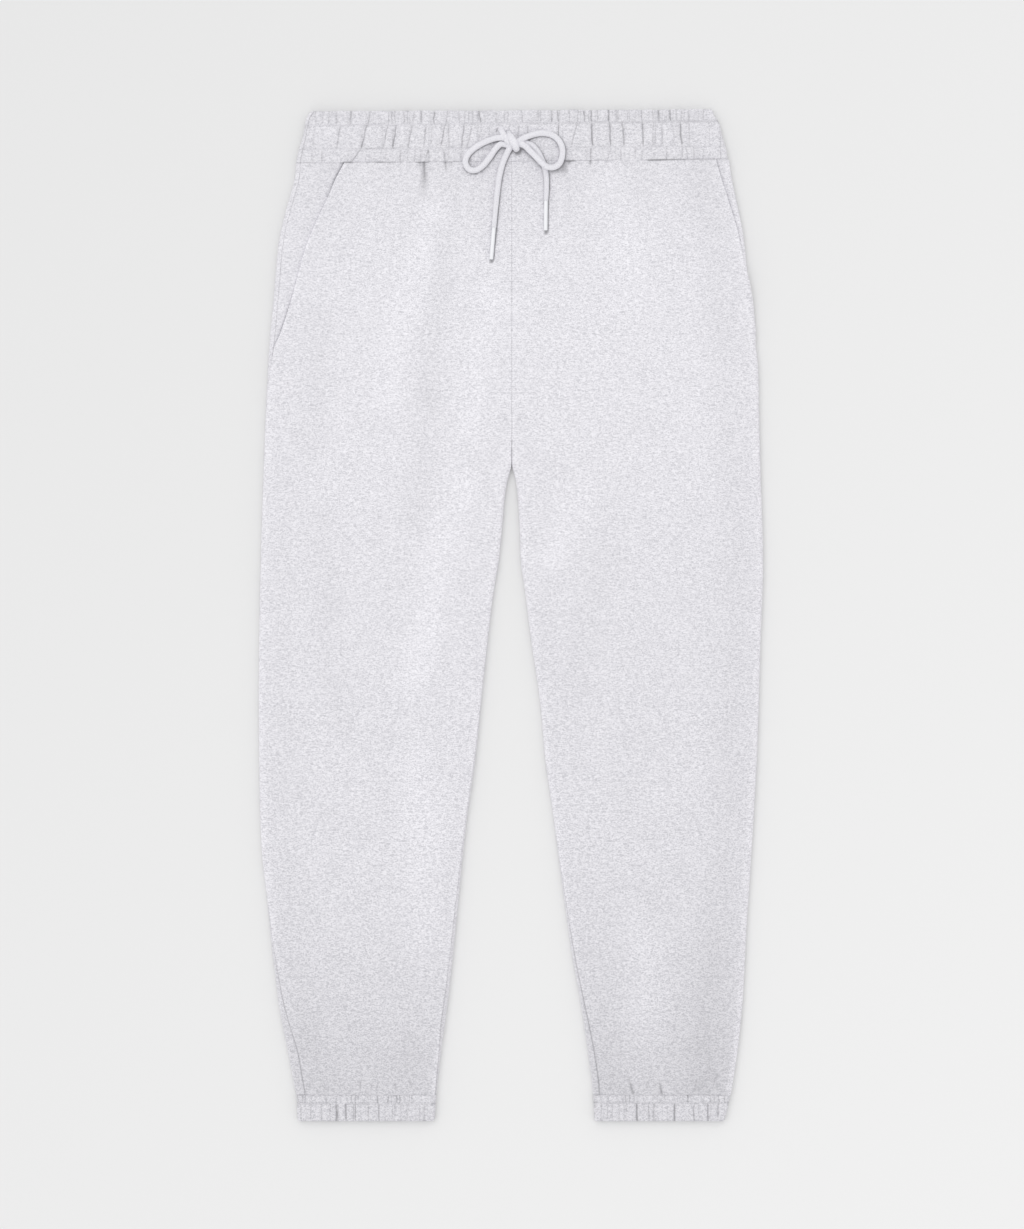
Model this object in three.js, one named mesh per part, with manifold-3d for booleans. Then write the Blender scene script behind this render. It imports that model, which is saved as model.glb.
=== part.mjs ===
// Jogger sweatpants lying flat on their back, in millimetres.
// X runs across the garment, +Y towards the waist, +Z up from the surface that it lies on.
// Left and right are the wearer's: the wearer's right leg lies on the -X side.
// The legs and the seat are flattened tubes: the back lies on the surface, the front lies on
// the back, and the cloth rolls round at the outer edge and at the inside of each leg.

import * as THREE from 'three';
import Module from 'manifold-3d';
import { mergeVertices } from 'three/addons/utils/BufferGeometryUtils.js';

// Driving sizes
const CLOTH = 2.2;
const SEAM_GAP = 0.3;
const LAP_GAP = 0.6;
const BAND_WALL = 4.0;
const BAND_FOLD = 9.0;
const CENTRE_SEAM_X = 0.8;
const CROTCH_Y = 149;
const ROLL_START_Y = 178;
const CUFF_SEAM_Y = -480;
const HEM_Y = -506;
const CORD_DIAMETER = 7.0;
const TIP_DIAMETER = 4.2;

// Colours of the cloth, the ribbed bands and the cord
const HEATHER = 0xe3e2e7;
const BAND_HEATHER = 0xdcdce1;
const CORD_GREY = 0xe6e6ea;
const TIP_GREY = 0xeeeef2;

// Outer edge of each leg: x of the fold's outermost line, and how far past it, along the
// cloth towards the top, the side seam lies
const RIGHT_OUTER = [
  { y: 452, x: -215.5, seam: 7.3 },
  { y: 438, x: -216.5, seam: 7.3 },
  { y: 405, x: -225.3, seam: 7.3 },
  { y: 372, x: -232.6, seam: 7.3 },
  { y: 322, x: -237.2, seam: 7.3 },
  { y: 269, x: -242.0, seam: 7.3 },
  { y: 223, x: -244.4, seam: 2.5 },
  { y: 149, x: -247.4, seam: 0.5 },
  { y: 60, x: -250.2, seam: 0 },
  { y: -45, x: -252.2, seam: 0 },
  { y: -150, x: -252.0, seam: 0 },
  { y: -236, x: -249.3, seam: 0.5 },
  { y: -285, x: -244.0, seam: 3.5 },
  { y: -341, x: -238.3, seam: 7.0 },
  { y: -395, x: -231.4, seam: 12.0 },
  { y: -435, x: -223.5, seam: 14.3 },
  { y: -480, x: -215.0, seam: 10.0 },
];
const LEFT_OUTER = [
  { y: 455, x: 217.7, seam: -2.0 },
  { y: 433, x: 221.2, seam: -2.0 },
  { y: 412, x: 225.9, seam: -2.0 },
  { y: 382, x: 232.0, seam: -2.0 },
  { y: 347, x: 236.0, seam: -2.0 },
  { y: 314, x: 239.3, seam: -2.0 },
  { y: 280, x: 243.0, seam: -2.0 },
  { y: 250, x: 247.0, seam: -2.0 },
  { y: 198, x: 248.2, seam: -2.0 },
  { y: 139, x: 249.8, seam: -2.0 },
  { y: 51, x: 252.3, seam: -2.0 },
  { y: -30, x: 249.6, seam: -2.0 },
  { y: -145, x: 246.0, seam: -2.0 },
  { y: -245, x: 240.2, seam: -2.0 },
  { y: -314, x: 235.6, seam: -2.0 },
  { y: -383, x: 232.0, seam: -2.0 },
  { y: -434, x: 227.0, seam: -2.0 },
  { y: -480, x: 220.0, seam: -2.0 },
];

// Inner edge of each leg below the crotch, and the inseam past it
const RIGHT_INNER = [
  { y: 149, x: 0.65, seam: 0 },
  { y: 134, x: -3.6, seam: 0 },
  { y: 118, x: -6.2, seam: 0 },
  { y: 93, x: -8.4, seam: 0 },
  { y: 53, x: -12.4, seam: 0 },
  { y: 28, x: -16.6, seam: 0.5 },
  { y: -9, x: -21.4, seam: 1.0 },
  { y: -90, x: -30.0, seam: 2.0 },
  { y: -145, x: -35.6, seam: 3.2 },
  { y: -211, x: -44.8, seam: 3.2 },
  { y: -287, x: -52.6, seam: 4.7 },
  { y: -369, x: -61.0, seam: 5.8 },
  { y: -410, x: -66.2, seam: 6.2 },
  { y: -440, x: -70.4, seam: 4.0 },
  { y: -480, x: -74.7, seam: 3.0 },
];
const LEFT_INNER = [
  { y: 149, x: 0.95, seam: 0 },
  { y: 134, x: 4.8, seam: 0 },
  { y: 114, x: 7.0, seam: 0 },
  { y: 83, x: 8.8, seam: 0 },
  { y: 53, x: 9.8, seam: 0 },
  { y: 28, x: 13.3, seam: 0 },
  { y: -29, x: 20.6, seam: 0 },
  { y: -90, x: 29.4, seam: 0 },
  { y: -145, x: 34.2, seam: 0.5 },
  { y: -192, x: 41.0, seam: 1.0 },
  { y: -277, x: 52.0, seam: 3.5 },
  { y: -346, x: 61.8, seam: 5.3 },
  { y: -381, x: 68.4, seam: 5.9 },
  { y: -423, x: 74.8, seam: 8.2 },
  { y: -466, x: 80.8, seam: 9.2 },
  { y: -480, x: 81.7, seam: 9.0 },
];

// Pocket mouths: how far the front's free edge lies past the fold's outermost line, along the
// cloth; the last row is where it runs into the side seam
const RIGHT_MOUTH = [
  { y: 453, past: 51.0 },
  { y: 438, past: 43.9 },
  { y: 419, past: 41.0 },
  { y: 402, past: 37.5 },
  { y: 369, past: 30.5 },
  { y: 311, past: 19.6 },
  { y: 294, past: 15.8 },
  { y: 279, past: 12.0 },
  { y: 269, past: 7.6 },
];
const LEFT_MOUTH = [
  { y: 456, past: 15.0 },
  { y: 429, past: 10.8 },
  { y: 400, past: 7.7 },
  { y: 375, past: 5.3 },
  { y: 353, past: 4.0 },
  { y: 330, past: 0.8 },
  { y: 314, past: -0.8 },
  { y: 298, past: -1.8 },
];

// Height of the front's upper face where nothing lifts it, and of the rolled edges
const FRONT_LEVEL = [
  { y: 456, level: 7.9, fold: 8.9 },
  { y: 440, level: 7.2, fold: 8.5 },
  { y: 412, level: 6.1, fold: 8.2 },
  { y: 380, level: 5.8, fold: 8.2 },
  { y: 0, level: 5.8, fold: 8.2 },
  { y: -430, level: 5.9, fold: 8.2 },
  { y: -455, level: 7.2, fold: 8.3 },
  { y: -470, level: 8.4, fold: 8.6 },
  { y: -480, level: 7.8, fold: 8.6 },
];

// Height of the front at the centre seam, which becomes the roll at the crotch
const CENTRE_HEIGHT = [
  { y: 456, height: 7.6 },
  { y: 430, height: 6.2 },
  { y: 390, height: 5.4 },
  { y: 185, height: 5.4 },
  { y: 165, height: 6.0 },
  { y: 149, height: 7.0 },
  { y: 120, height: 8.2 },
];

// Soft folds of each front: from one point to the other, half width, and height or depth
const RIGHT_FOLDS = [
  { x1: -63, y1: 375, x2: -86, y2: 215, half: 13, height: -0.9 },
  { x1: -86, y1: 215, x2: -94, y2: 100, half: 15, height: -0.8 },
  { x1: -188, y1: 300, x2: -197, y2: 170, half: 15, height: -0.9 },
  { x1: -192, y1: 90, x2: -168, y2: -110, half: 15, height: -0.8 },
  { x1: -78, y1: 400, x2: -130, y2: 210, half: 14, height: 1.2 },
  { x1: -18, y1: 320, x2: -42, y2: 190, half: 14, height: 0.9 },
  { x1: -50, y1: 130, x2: -98, y2: -70, half: 17, height: 1.4 },
  { x1: -95, y1: -150, x2: -88, y2: -330, half: 22, height: 1.0 },
];
const LEFT_FOLDS = [
  { x1: 95, y1: 60, x2: 60, y2: -75, half: 15, height: -0.7 },
  { x1: 72, y1: 125, x2: 38, y2: 52, half: 16, height: 1.0 },
  { x1: 100, y1: 430, x2: 120, y2: 330, half: 26, height: 0.8 },
  { x1: 130, y1: -330, x2: 132, y2: -440, half: 24, height: 1.2 },
  { x1: 196, y1: -330, x2: 188, y2: -430, half: 15, height: -0.6 },
];

// Small pleats that the waistband's elastic draws in the fronts, just under the band
const RIGHT_PLEATS = [
  { x: -91, depth: 0.6 },
  { x: -87, depth: 1.4 },
  { x: -65.2, depth: 1.3 },
  { x: -59.4, depth: 0.7 },
];
const LEFT_PLEATS = [
  { x: 52, depth: 1.3 },
  { x: 58.5, depth: 0.8 },
  { x: 79.4, depth: 1.2 },
  { x: 96, depth: 0.7 },
];
const PLEAT_REACH = 17;
const PLEAT_HALF = 2.4;

// Waistband: height of each line at the wearer's right end and at the left end
const BAND_SEAM = { right: 451.6, left: 455.6 };
const LOWER_STITCH = { right: 465.0, left: 468.0 };
const UPPER_STITCH = { right: 489.0, left: 494.2 };
const BAND_EDGE = { right: 503.6, left: 506.0 };

// Ends of the flattened waistband: outermost line and side seam past it, at either end
const BAND_ENDS = [
  { y: 506, xRight: -199.5, xLeft: 201.0, seamRight: 6.0, seamLeft: 2.0 },
  { y: 498, xRight: -204.8, xLeft: 203.4, seamRight: 6.0, seamLeft: 2.0 },
  { y: 489, xRight: -207.0, xLeft: 208.4, seamRight: 6.0, seamLeft: 2.5 },
  { y: 477, xRight: -209.2, xLeft: 211.2, seamRight: 6.0, seamLeft: 4.5 },
  { y: 467, xRight: -212.2, xLeft: 214.6, seamRight: 6.5, seamLeft: 8.0 },
  { y: 452, xRight: -215.4, xLeft: 217.2, seamRight: 7.2, seamLeft: 10.0 },
];

// Gathers of the waistband: the elastic's channel, the rolled top, and the strip at the seam
const CHANNEL_GATHERS = [
  { top: -196.4, bottom: -197.4, depth: 0.5 },
  { top: -170.4, bottom: -174.6, depth: 0.9 },
  { top: -144.0, bottom: -150.0, depth: 1.3 },
  { top: -123.0, bottom: -128.3, depth: 0.9 },
  { top: -114.3, bottom: -118.5, depth: 1.1 },
  { top: -99.0, bottom: -103.0, depth: 0.9 },
  { top: -85.0, bottom: -87.5, depth: 0.9 },
  { top: -79.0, bottom: -80.5, depth: 0.5 },
  { top: -65.4, bottom: -71.0, depth: 1.1 },
  { top: -46.5, bottom: -49.6, depth: 1.3 },
  { top: -38.0, bottom: -44.0, depth: 0.7 },
  { top: -29.3, bottom: -32.0, depth: 0.6 },
  { top: 47.9, bottom: 46.9, depth: 1.3 },
  { top: 66.0, bottom: 60.0, depth: 0.9 },
  { top: 80.5, bottom: 81.4, depth: 1.3 },
  { top: 98.0, bottom: 99.8, depth: 1.3 },
  { top: 111.0, bottom: 112.0, depth: 0.9 },
  { top: 131.6, bottom: 132.5, depth: 1.3 },
  { top: 144.0, bottom: 144.5, depth: 0.7 },
  { top: 149.7, bottom: 151.8, depth: 0.6 },
  { top: 161.0, bottom: 164.0, depth: 0.6 },
  { top: 169.0, bottom: 170.4, depth: 1.1 },
  { top: 198.0, bottom: 198.4, depth: 0.5 },
];
const EDGE_GATHERS = [
  { top: -187.5, bottom: -188.5, depth: 0.6 },
  { top: -181.6, bottom: -182.0, depth: 0.6 },
  { top: -175.3, bottom: -174.5, depth: 0.6 },
  { top: -160.2, bottom: -160.6, depth: 0.9 },
  { top: -140.6, bottom: -143.0, depth: 0.9 },
  { top: -122.0, bottom: -122.6, depth: 0.8 },
  { top: -116.4, bottom: -115.4, depth: 0.8 },
  { top: -107.0, bottom: -106.4, depth: 0.7 },
  { top: -97.0, bottom: -98.0, depth: 0.8 },
  { top: -90.0, bottom: -88.8, depth: 0.7 },
  { top: -76.5, bottom: -77.5, depth: 1.2 },
  { top: -63.0, bottom: -64.6, depth: 0.8 },
  { top: -52.0, bottom: -51.4, depth: 0.7 },
  { top: -46.0, bottom: -46.4, depth: 0.7 },
  { top: -38.5, bottom: -38.2, depth: 0.7 },
  { top: -31.5, bottom: -30.6, depth: 1.2 },
  { top: -15.0, bottom: -14.4, depth: 0.7 },
  { top: -3.0, bottom: -3.6, depth: 0.7 },
  { top: 10.7, bottom: 11.4, depth: 0.7 },
  { top: 27.6, bottom: 27.0, depth: 0.7 },
  { top: 40.0, bottom: 40.6, depth: 0.8 },
  { top: 46.0, bottom: 47.4, depth: 1.2 },
  { top: 67.0, bottom: 66.4, depth: 0.8 },
  { top: 73.0, bottom: 73.8, depth: 1.2 },
  { top: 80.5, bottom: 80.2, depth: 1.2 },
  { top: 86.5, bottom: 87.0, depth: 0.8 },
  { top: 97.0, bottom: 97.8, depth: 1.2 },
  { top: 106.0, bottom: 106.6, depth: 0.7 },
  { top: 117.0, bottom: 116.4, depth: 0.7 },
  { top: 130.0, bottom: 131.0, depth: 0.8 },
  { top: 141.5, bottom: 142.2, depth: 0.7 },
  { top: 147.5, bottom: 148.4, depth: 0.8 },
  { top: 159.0, bottom: 159.6, depth: 1.2 },
  { top: 165.0, bottom: 166.0, depth: 0.7 },
  { top: 177.0, bottom: 177.6, depth: 0.7 },
  { top: 192.0, bottom: 192.6, depth: 0.7 },
];
const SEAM_GATHERS = [
  { top: -148.0, bottom: -160.0, depth: 1.0 },
  { top: -90.0, bottom: -91.0, depth: 0.6 },
  { top: -82.0, bottom: -86.6, depth: 0.9 },
  { top: -67.5, bottom: -65.4, depth: 0.9 },
  { top: -55.0, bottom: -57.0, depth: 0.5 },
  { top: -49.3, bottom: -50.0, depth: 0.5 },
  { top: 53.5, bottom: 52.0, depth: 1.0 },
  { top: 80.0, bottom: 79.4, depth: 0.7 },
  { top: 100.0, bottom: 96.0, depth: 0.7 },
  { top: 113.5, bottom: 113.0, depth: 0.5 },
  { top: 171.6, bottom: 171.0, depth: 0.6 },
];
const GATHER_HALF = 2.3;

// Cuffs: ends of each flattened ring at its seam and at its hem, and its gathers
const CUFFS = {
  right: { top: [-214.6, -74.6], hem: [-213.6, -76.2], stitch: -488.3 },
  left: { top: [82.0, 219.6], hem: [83.0, 213.6], stitch: -487.6 },
};
const RIGHT_CUFF_GATHERS = [
  { x: -200, depth: 0.7 },
  { x: -189.4, depth: 0.7 },
  { x: -181, depth: 0.7 },
  { x: -174.7, depth: 1.3 },
  { x: -165, depth: 1.3 },
  { x: -156, depth: 0.9 },
  { x: -143, depth: 0.7 },
  { x: -132, depth: 0.9 },
  { x: -118, depth: 0.6 },
  { x: -104, depth: 0.8 },
  { x: -91, depth: 0.6 },
];
const LEFT_CUFF_GATHERS = [
  { x: 90, depth: 0.6 },
  { x: 101, depth: 0.6 },
  { x: 115, depth: 0.6 },
  { x: 125.5, depth: 1.3 },
  { x: 138, depth: 0.7 },
  { x: 143, depth: 0.7 },
  { x: 163, depth: 1.3 },
  { x: 182.8, depth: 0.9 },
  { x: 196.6, depth: 1.3 },
  { x: 207, depth: 0.6 },
];

// Value of a table's column at a height, on a smooth curve through its rows
function along(table, column, y) {
  const last = table.length - 1;
  if (y >= table[0].y) {
    return table[0][column];
  }
  if (y <= table[last].y) {
    return table[last][column];
  }
  const k = table.findIndex((row, i) => i < last && y >= table[i + 1].y);
  const slope = (i) => {
    const before = table[Math.max(i - 1, 0)];
    const after = table[Math.min(i + 1, last)];
    return (after[column] - before[column]) / (after.y - before.y);
  };
  const span = table[k + 1].y - table[k].y;
  const t = (y - table[k].y) / span;
  const t2 = t * t;
  const t3 = t2 * t;
  const start = (2 * t3 - 3 * t2 + 1) * table[k][column] + (t3 - 2 * t2 + t) * span * slope(k);
  const end = (3 * t2 - 2 * t3) * table[k + 1][column] + (t3 - t2) * span * slope(k + 1);
  return start + end;
}

// 1 at a distance of 0, easing to 0 at the reach
function fade(distance, reach) {
  const t = THREE.MathUtils.clamp(distance / reach, 0, 1);
  return 0.5 * (1 + Math.cos(Math.PI * t));
}

// A closed body put together from rows of points, zipped together with triangles
class Shell {
  constructor() {
    this.points = [];
    this.triangles = [];
  }

  row(points) {
    return points.map((point) => this.points.push(point) - 1);
  }

  shares(row) {
    const lengths = [0];
    for (let i = 1; i < row.length; i += 1) {
      const step = this.points[row[i]].distanceTo(this.points[row[i - 1]]);
      lengths.push(lengths[i - 1] + step);
    }
    return lengths.map((length) => length / lengths[row.length - 1]);
  }

  strip(a, b) {
    const paired = a.length === b.length;
    const shareA = paired ? a.map((_, i) => i) : this.shares(a);
    const shareB = paired ? b.map((_, i) => i) : this.shares(b);
    let i = 0;
    let j = 0;
    while (i < a.length - 1 || j < b.length - 1) {
      const alongA = j === b.length - 1 || (i < a.length - 1 && shareA[i + 1] <= shareB[j + 1]);
      if (alongA) {
        this.triangles.push([a[i], b[j], a[i + 1]]);
        i += 1;
      } else {
        this.triangles.push([a[i], b[j], b[j + 1]]);
        j += 1;
      }
    }
  }

  strips(rows) {
    for (let k = 0; k < rows.length - 1; k += 1) {
      this.strip(rows[k], rows[k + 1]);
    }
  }

  volume() {
    const sum = (total, [a, b, c]) => {
      const normal = new THREE.Vector3().crossVectors(this.points[b], this.points[c]);
      return total + this.points[a].dot(normal) / 6;
    };
    return this.triangles.reduce(sum, 0);
  }

  geometry() {
    const outward = this.volume() > 0;
    const geometry = new THREE.BufferGeometry().setFromPoints(this.points);
    geometry.setIndex(this.triangles.flatMap(([a, b, c]) => (outward ? [a, b, c] : [a, c, b])));
    geometry.computeVertexNormals();
    return geometry;
  }
}

// A sheet of cloth with an edge all round: rows of its outer face and rows of its inner face
function sheet(outerRows, innerRows) {
  const shell = new Shell();
  const outer = outerRows.map((points) => shell.row(points));
  const inner = innerRows.map((points) => shell.row(points));
  shell.strips(outer);
  shell.strips([...inner].reverse());
  shell.strip(inner[0], outer[0]);
  shell.strip(outer.at(-1), inner.at(-1));
  shell.strip(outer.map((row) => row[0]), inner.map((row) => row[0]));
  shell.strip(inner.map((row) => row.at(-1)), outer.map((row) => row.at(-1)));
  return shell.geometry();
}

// A ring of cloth, open at both ends: its rows run all round
function ring(outerRows, innerRows) {
  const shell = new Shell();
  const closed = (points) => {
    const row = shell.row(points);
    return [...row, row[0]];
  };
  const outer = outerRows.map(closed);
  const inner = innerRows.map(closed);
  shell.strips(outer);
  shell.strips([...inner].reverse());
  shell.strip(inner[0], outer[0]);
  shell.strip(outer.at(-1), inner.at(-1));
  return shell.geometry();
}

// One rolled end of a flattened tube: its outermost line, the way in from it, and its height
function rolledEnd(x, inward, height) {
  const radius = height / 2;
  return { x, inward, height, radius, quarter: (radius * Math.PI) / 2 };
}

// x of a point on the flat cloth a length past the end's outermost line, and the other way round
function flatX({ x, inward, radius, quarter }, past) {
  return x + inward * (radius + Math.abs(past) - quarter);
}

function flatPast({ x, radius, quarter }, pointX) {
  return Math.abs(pointX - x) - radius + quarter;
}

// Point on the cloth a length past the end's outermost line, counted towards the top, and
// a depth inside the outer face
function clothPoint(section, end, past, depth) {
  const { x, inward, radius, quarter } = end;
  if (Math.abs(past) > quarter) {
    const pointX = flatX(end, past);
    const z = past > 0 ? section.top(pointX) - depth : depth;
    return new THREE.Vector3(pointX, section.y(pointX), z);
  }
  const angle = past / radius;
  const arcX = x + inward * (radius - (radius - depth) * Math.cos(angle));
  return new THREE.Vector3(arcX, section.y(arcX), radius + (radius - depth) * Math.sin(angle));
}

// Columns of a row, as lengths from a rolled end; the inner face needs fewer
const FACE_STEPS = [0, 2.2, 4.4, 6.6, 11, 18, 28];
const LINING_STEPS = [0, 2.2, 4.4, 6.6, 13, 20, 30];
const INSEAM_STEPS = [0, 3.3, 6.6, 18];
const BOTTOM_STEPS = [0, 2.2, 4.4, 6.6];
const BOTTOM_INNER_STEPS = [0, 3.3, 6.6];

// Upper row of a section, from its end a to its end b, starting the given lengths past them
function upperRow(section, stops, depthAt, [stepsA, stepsB], pitch, extra = []) {
  const { a, b } = section;
  const place = (end, past) => clothPoint(section, end, past, depthAt(end, past));
  const left = stepsA.map((step) => place(a, stops[0] + step));
  const right = stepsB.map((step) => place(b, stops[1] + step)).reverse();
  const start = left.at(-1).x;
  const span = right[0].x - start;
  const count = Math.max(1, Math.round(span / pitch));
  const even = Array.from({ length: count - 1 }, (_, k) => start + (span * (k + 1)) / count);
  const wanted = extra.filter((x) => x > start + 1 && x < right[0].x - 1);
  const kept = even.filter((x) => wanted.every((other) => Math.abs(other - x) > PLEAT_HALF));
  const middle = [...kept, ...wanted].sort((p, q) => p - q).map((x) => place(a, flatPast(a, x)));
  return [...left, ...middle, ...right];
}

// Lower row of a section: down round end a, along the surface, and up round end b
function lowerRow(section, fromA, fromB, depth, steps) {
  const { a, b } = section;
  const down = (end, from) => {
    const flat = from + end.quarter;
    const shares = steps.map((step) => step / steps.at(-1));
    return shares.map((share) => clothPoint(section, end, from - share * flat, depth));
  };
  return [...down(a, fromA), ...down(b, fromB).reverse()];
}

// Height that a table of soft folds adds at a point
function foldRelief(folds, x, y) {
  return folds.reduce((sum, fold) => {
    const [dx, dy] = [fold.x2 - fold.x1, fold.y2 - fold.y1];
    const share = ((x - fold.x1) * dx + (y - fold.y1) * dy) / (dx * dx + dy * dy);
    const t = THREE.MathUtils.clamp(share, 0, 1);
    const distance = Math.hypot(x - fold.x1 - t * dx, y - fold.y1 - t * dy);
    return sum + fold.height * fade(distance, fold.half * 1.6);
  }, 0);
}

// Height of a line of the waistband at x
function bandLine(line, x) {
  const share = THREE.MathUtils.clamp((x + 216) / 433, 0, 1);
  return THREE.MathUtils.lerp(line.right, line.left, share);
}

// Heights of the sections of a leg, from the waistband's seam down to the cuff's
const SECTION_YS = [
  453.6, 448, 441, 433, 420, 402, 384, 366, 347, 328, 310, 289, 260, 232, 200, 178, 165, 149,
  138, 122, 95, 55, 10, -40, -90, -140, -190, -240, -285, -330, -370, -405, -435, -455, -466,
  -474, -479.85,
];
const PLEAT_SECTIONS = 4;
const SWELL_REACH = 32;
const LINING_PITCH = 40;
const CENTRE_REACH = 14;

// Which side a leg's outer edge lies on, and its tables
const RIGHT = {
  side: -1,
  outer: RIGHT_OUTER,
  inner: RIGHT_INNER,
  mouth: RIGHT_MOUTH,
  folds: RIGHT_FOLDS,
  pleats: RIGHT_PLEATS,
  pitch: 16,
  extraYs: [277, 247],
};
const LEFT = {
  side: 1,
  outer: LEFT_OUTER,
  inner: LEFT_INNER,
  mouth: LEFT_MOUTH,
  folds: LEFT_FOLDS,
  pleats: LEFT_PLEATS,
  pitch: 26,
  extraYs: [338, 319, 298, 275],
};

function sectionYs(leg) {
  return [...SECTION_YS, ...leg.extraYs].sort((p, q) => q - p);
}

// Section of one half of the trousers at a height
function legSection(leg, height) {
  const fold = along(FRONT_LEVEL, 'fold', height);
  const outer = rolledEnd(along(leg.outer, 'x', height), -leg.side, fold);
  const sideSeam = along(leg.outer, 'seam', height);
  const centre = CENTRE_SEAM_X + (leg.side * SEAM_GAP) / 2;
  const innerHeight = along(CENTRE_HEIGHT, 'height', height);
  let inner;
  let innerFront;
  let innerBack;
  if (height > CROTCH_Y) {
    const turn = THREE.MathUtils.clamp((ROLL_START_Y - height) / (ROLL_START_Y - CROTCH_Y), 0, 1);
    const roll = (turn * Math.PI) / 2;
    const radius = innerHeight / 2;
    inner = rolledEnd(centre - leg.side * radius * (1 - Math.sin(roll)), leg.side, innerHeight);
    innerFront = Math.max(radius * (Math.PI / 2 - roll), SEAM_GAP / 2);
    innerBack = -innerFront;
  } else {
    inner = rolledEnd(along(leg.inner, 'x', height), leg.side, innerHeight);
    innerFront = along(leg.inner, 'seam', height) + SEAM_GAP / 2;
    innerBack = innerFront - SEAM_GAP;
  }
  const level = along(FRONT_LEVEL, 'level', height);
  const innerReach = height > CROTCH_Y ? CENTRE_REACH : SWELL_REACH;
  const slope = 1 - THREE.MathUtils.clamp((SECTION_YS[0] - height) / 60, 0, 1);
  const middle = (BAND_SEAM.right + BAND_SEAM.left) / 2;
  const y = (x) => height + slope * (bandLine(BAND_SEAM, x) - middle);
  const pleatShare = fade(SECTION_YS[0] - height, PLEAT_REACH);
  const top = (x) => {
    const fromOuter = Math.abs(x - outer.x) - outer.radius;
    const fromInner = Math.abs(x - inner.x) - inner.radius;
    const outerShare = fade(Math.max(fromOuter, 0), SWELL_REACH);
    const innerShare = fade(Math.max(fromInner, 0), innerReach);
    const soft = level + foldRelief(leg.folds, x, height);
    const swollen = soft + (fold - soft) * outerShare;
    const dips = leg.pleats.map(
      (pleat) => pleat.depth * pleatShare * fade(Math.abs(x - pleat.x), PLEAT_HALF),
    );
    const dip = dips.reduce((sum, value) => sum + value, 0);
    return swollen + (innerHeight - swollen) * innerShare - dip;
  };
  const ends = leg.side < 0 ? { a: outer, b: inner } : { a: inner, b: outer };
  return { ...ends, y, top, height, outer, inner, sideSeam, innerFront, innerBack };
}

// How far past the outermost line the front begins, and how high the pocket facing lifts it
const LIFT = CLOTH + LAP_GAP;
const MOUTH_LAP = 17;
const LIFT_BLEND = 34;
const FACING_TAIL = 9;
const LIFT_TAIL = 26;

function frontStart(leg, section) {
  const foot = leg.mouth.at(-1).y;
  const seam = section.sideSeam + SEAM_GAP / 2;
  return section.height >= foot ? Math.max(along(leg.mouth, 'past', section.height), seam) : seam;
}

function frontLift(leg, section, start) {
  const foot = leg.mouth.at(-1).y - FACING_TAIL;
  const lengthwise = fade(Math.max(foot - section.height, 0), LIFT_TAIL);
  return (past) => {
    const beyond = past - start - MOUTH_LAP - 3;
    return LIFT * lengthwise * fade(Math.max(beyond, 0), LIFT_BLEND);
  };
}

// The four panels
function front(leg) {
  const pleatXs = leg.pleats.flatMap(({ x }) => [x - PLEAT_HALF, x, x + PLEAT_HALF]);
  const rows = (wall, steps, pitch) => sectionYs(leg).map((height, k) => {
    const section = legSection(leg, height);
    const start = frontStart(leg, section);
    const lift = frontLift(leg, section, start);
    const stops = leg.side < 0 ? [start, section.innerFront] : [section.innerFront, start];
    const ordered = leg.side < 0 ? steps : [...steps].reverse();
    const depthAt = (end, past) => {
      const atOuter = end === section.outer;
      return wall - lift(atOuter ? past : flatPast(section.outer, flatX(end, past)));
    };
    const extra = wall === 0 && k < PLEAT_SECTIONS ? pleatXs : [];
    return upperRow(section, stops, depthAt, ordered, pitch, extra);
  });
  const face = rows(0, [FACE_STEPS, FACE_STEPS], leg.pitch);
  return sheet(face, rows(CLOTH, [LINING_STEPS, INSEAM_STEPS], LINING_PITCH));
}

function back(leg) {
  const rows = (wall, steps) => sectionYs(leg).map((height) => {
    const section = legSection(leg, height);
    const seam = section.sideSeam - SEAM_GAP / 2;
    const stops = leg.side < 0 ? [seam, section.innerBack] : [section.innerBack, seam];
    return lowerRow(section, ...stops, wall, steps);
  });
  return sheet(rows(0, BOTTOM_STEPS), rows(CLOTH, BOTTOM_INNER_STEPS));
}

// The piece seen in the pocket's mouth: from the side seam to a little under the front
function facing(leg) {
  const foot = leg.mouth.at(-1).y - FACING_TAIL;
  const heights = sectionYs(leg).filter((height) => height >= foot);
  const shares = [0, 0.05, 0.1, 0.16, 0.25, 0.38, 0.52, 0.67, 0.83, 1];
  const rows = (wall, picked) => heights.map((height) => {
    const section = legSection(leg, height);
    const start = section.sideSeam + SEAM_GAP / 2;
    const mouth = Math.max(along(leg.mouth, 'past', height), start);
    const stop = mouth + MOUTH_LAP;
    const points = picked.map((share) => {
      const past = start + (stop - start) * share;
      return clothPoint(section, section.outer, past, wall);
    });
    return leg.side < 0 ? points : points.reverse();
  });
  return sheet(rows(0, shares), rows(CLOTH, shares.filter((_, k) => k % 3 === 0)));
}

// Section of the waistband at a share of its height between two lines
function bandSection(lineA, lineB, share, crest) {
  const y = (x) => THREE.MathUtils.lerp(bandLine(lineA, x), bandLine(lineB, x), share);
  const height = y(0);
  const a = rolledEnd(along(BAND_ENDS, 'xRight', height), 1, BAND_FOLD);
  const b = rolledEnd(along(BAND_ENDS, 'xLeft', height), -1, BAND_FOLD);
  const seams = [along(BAND_ENDS, 'seamRight', height), along(BAND_ENDS, 'seamLeft', height)];
  const top = (x) => {
    const fromEnd = Math.min(x - a.x - a.radius, b.x - b.radius - x);
    return crest + (BAND_FOLD - crest) * fade(Math.max(fromEnd, 0), 12);
  };
  return { a, b, y, top, seams };
}

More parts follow.
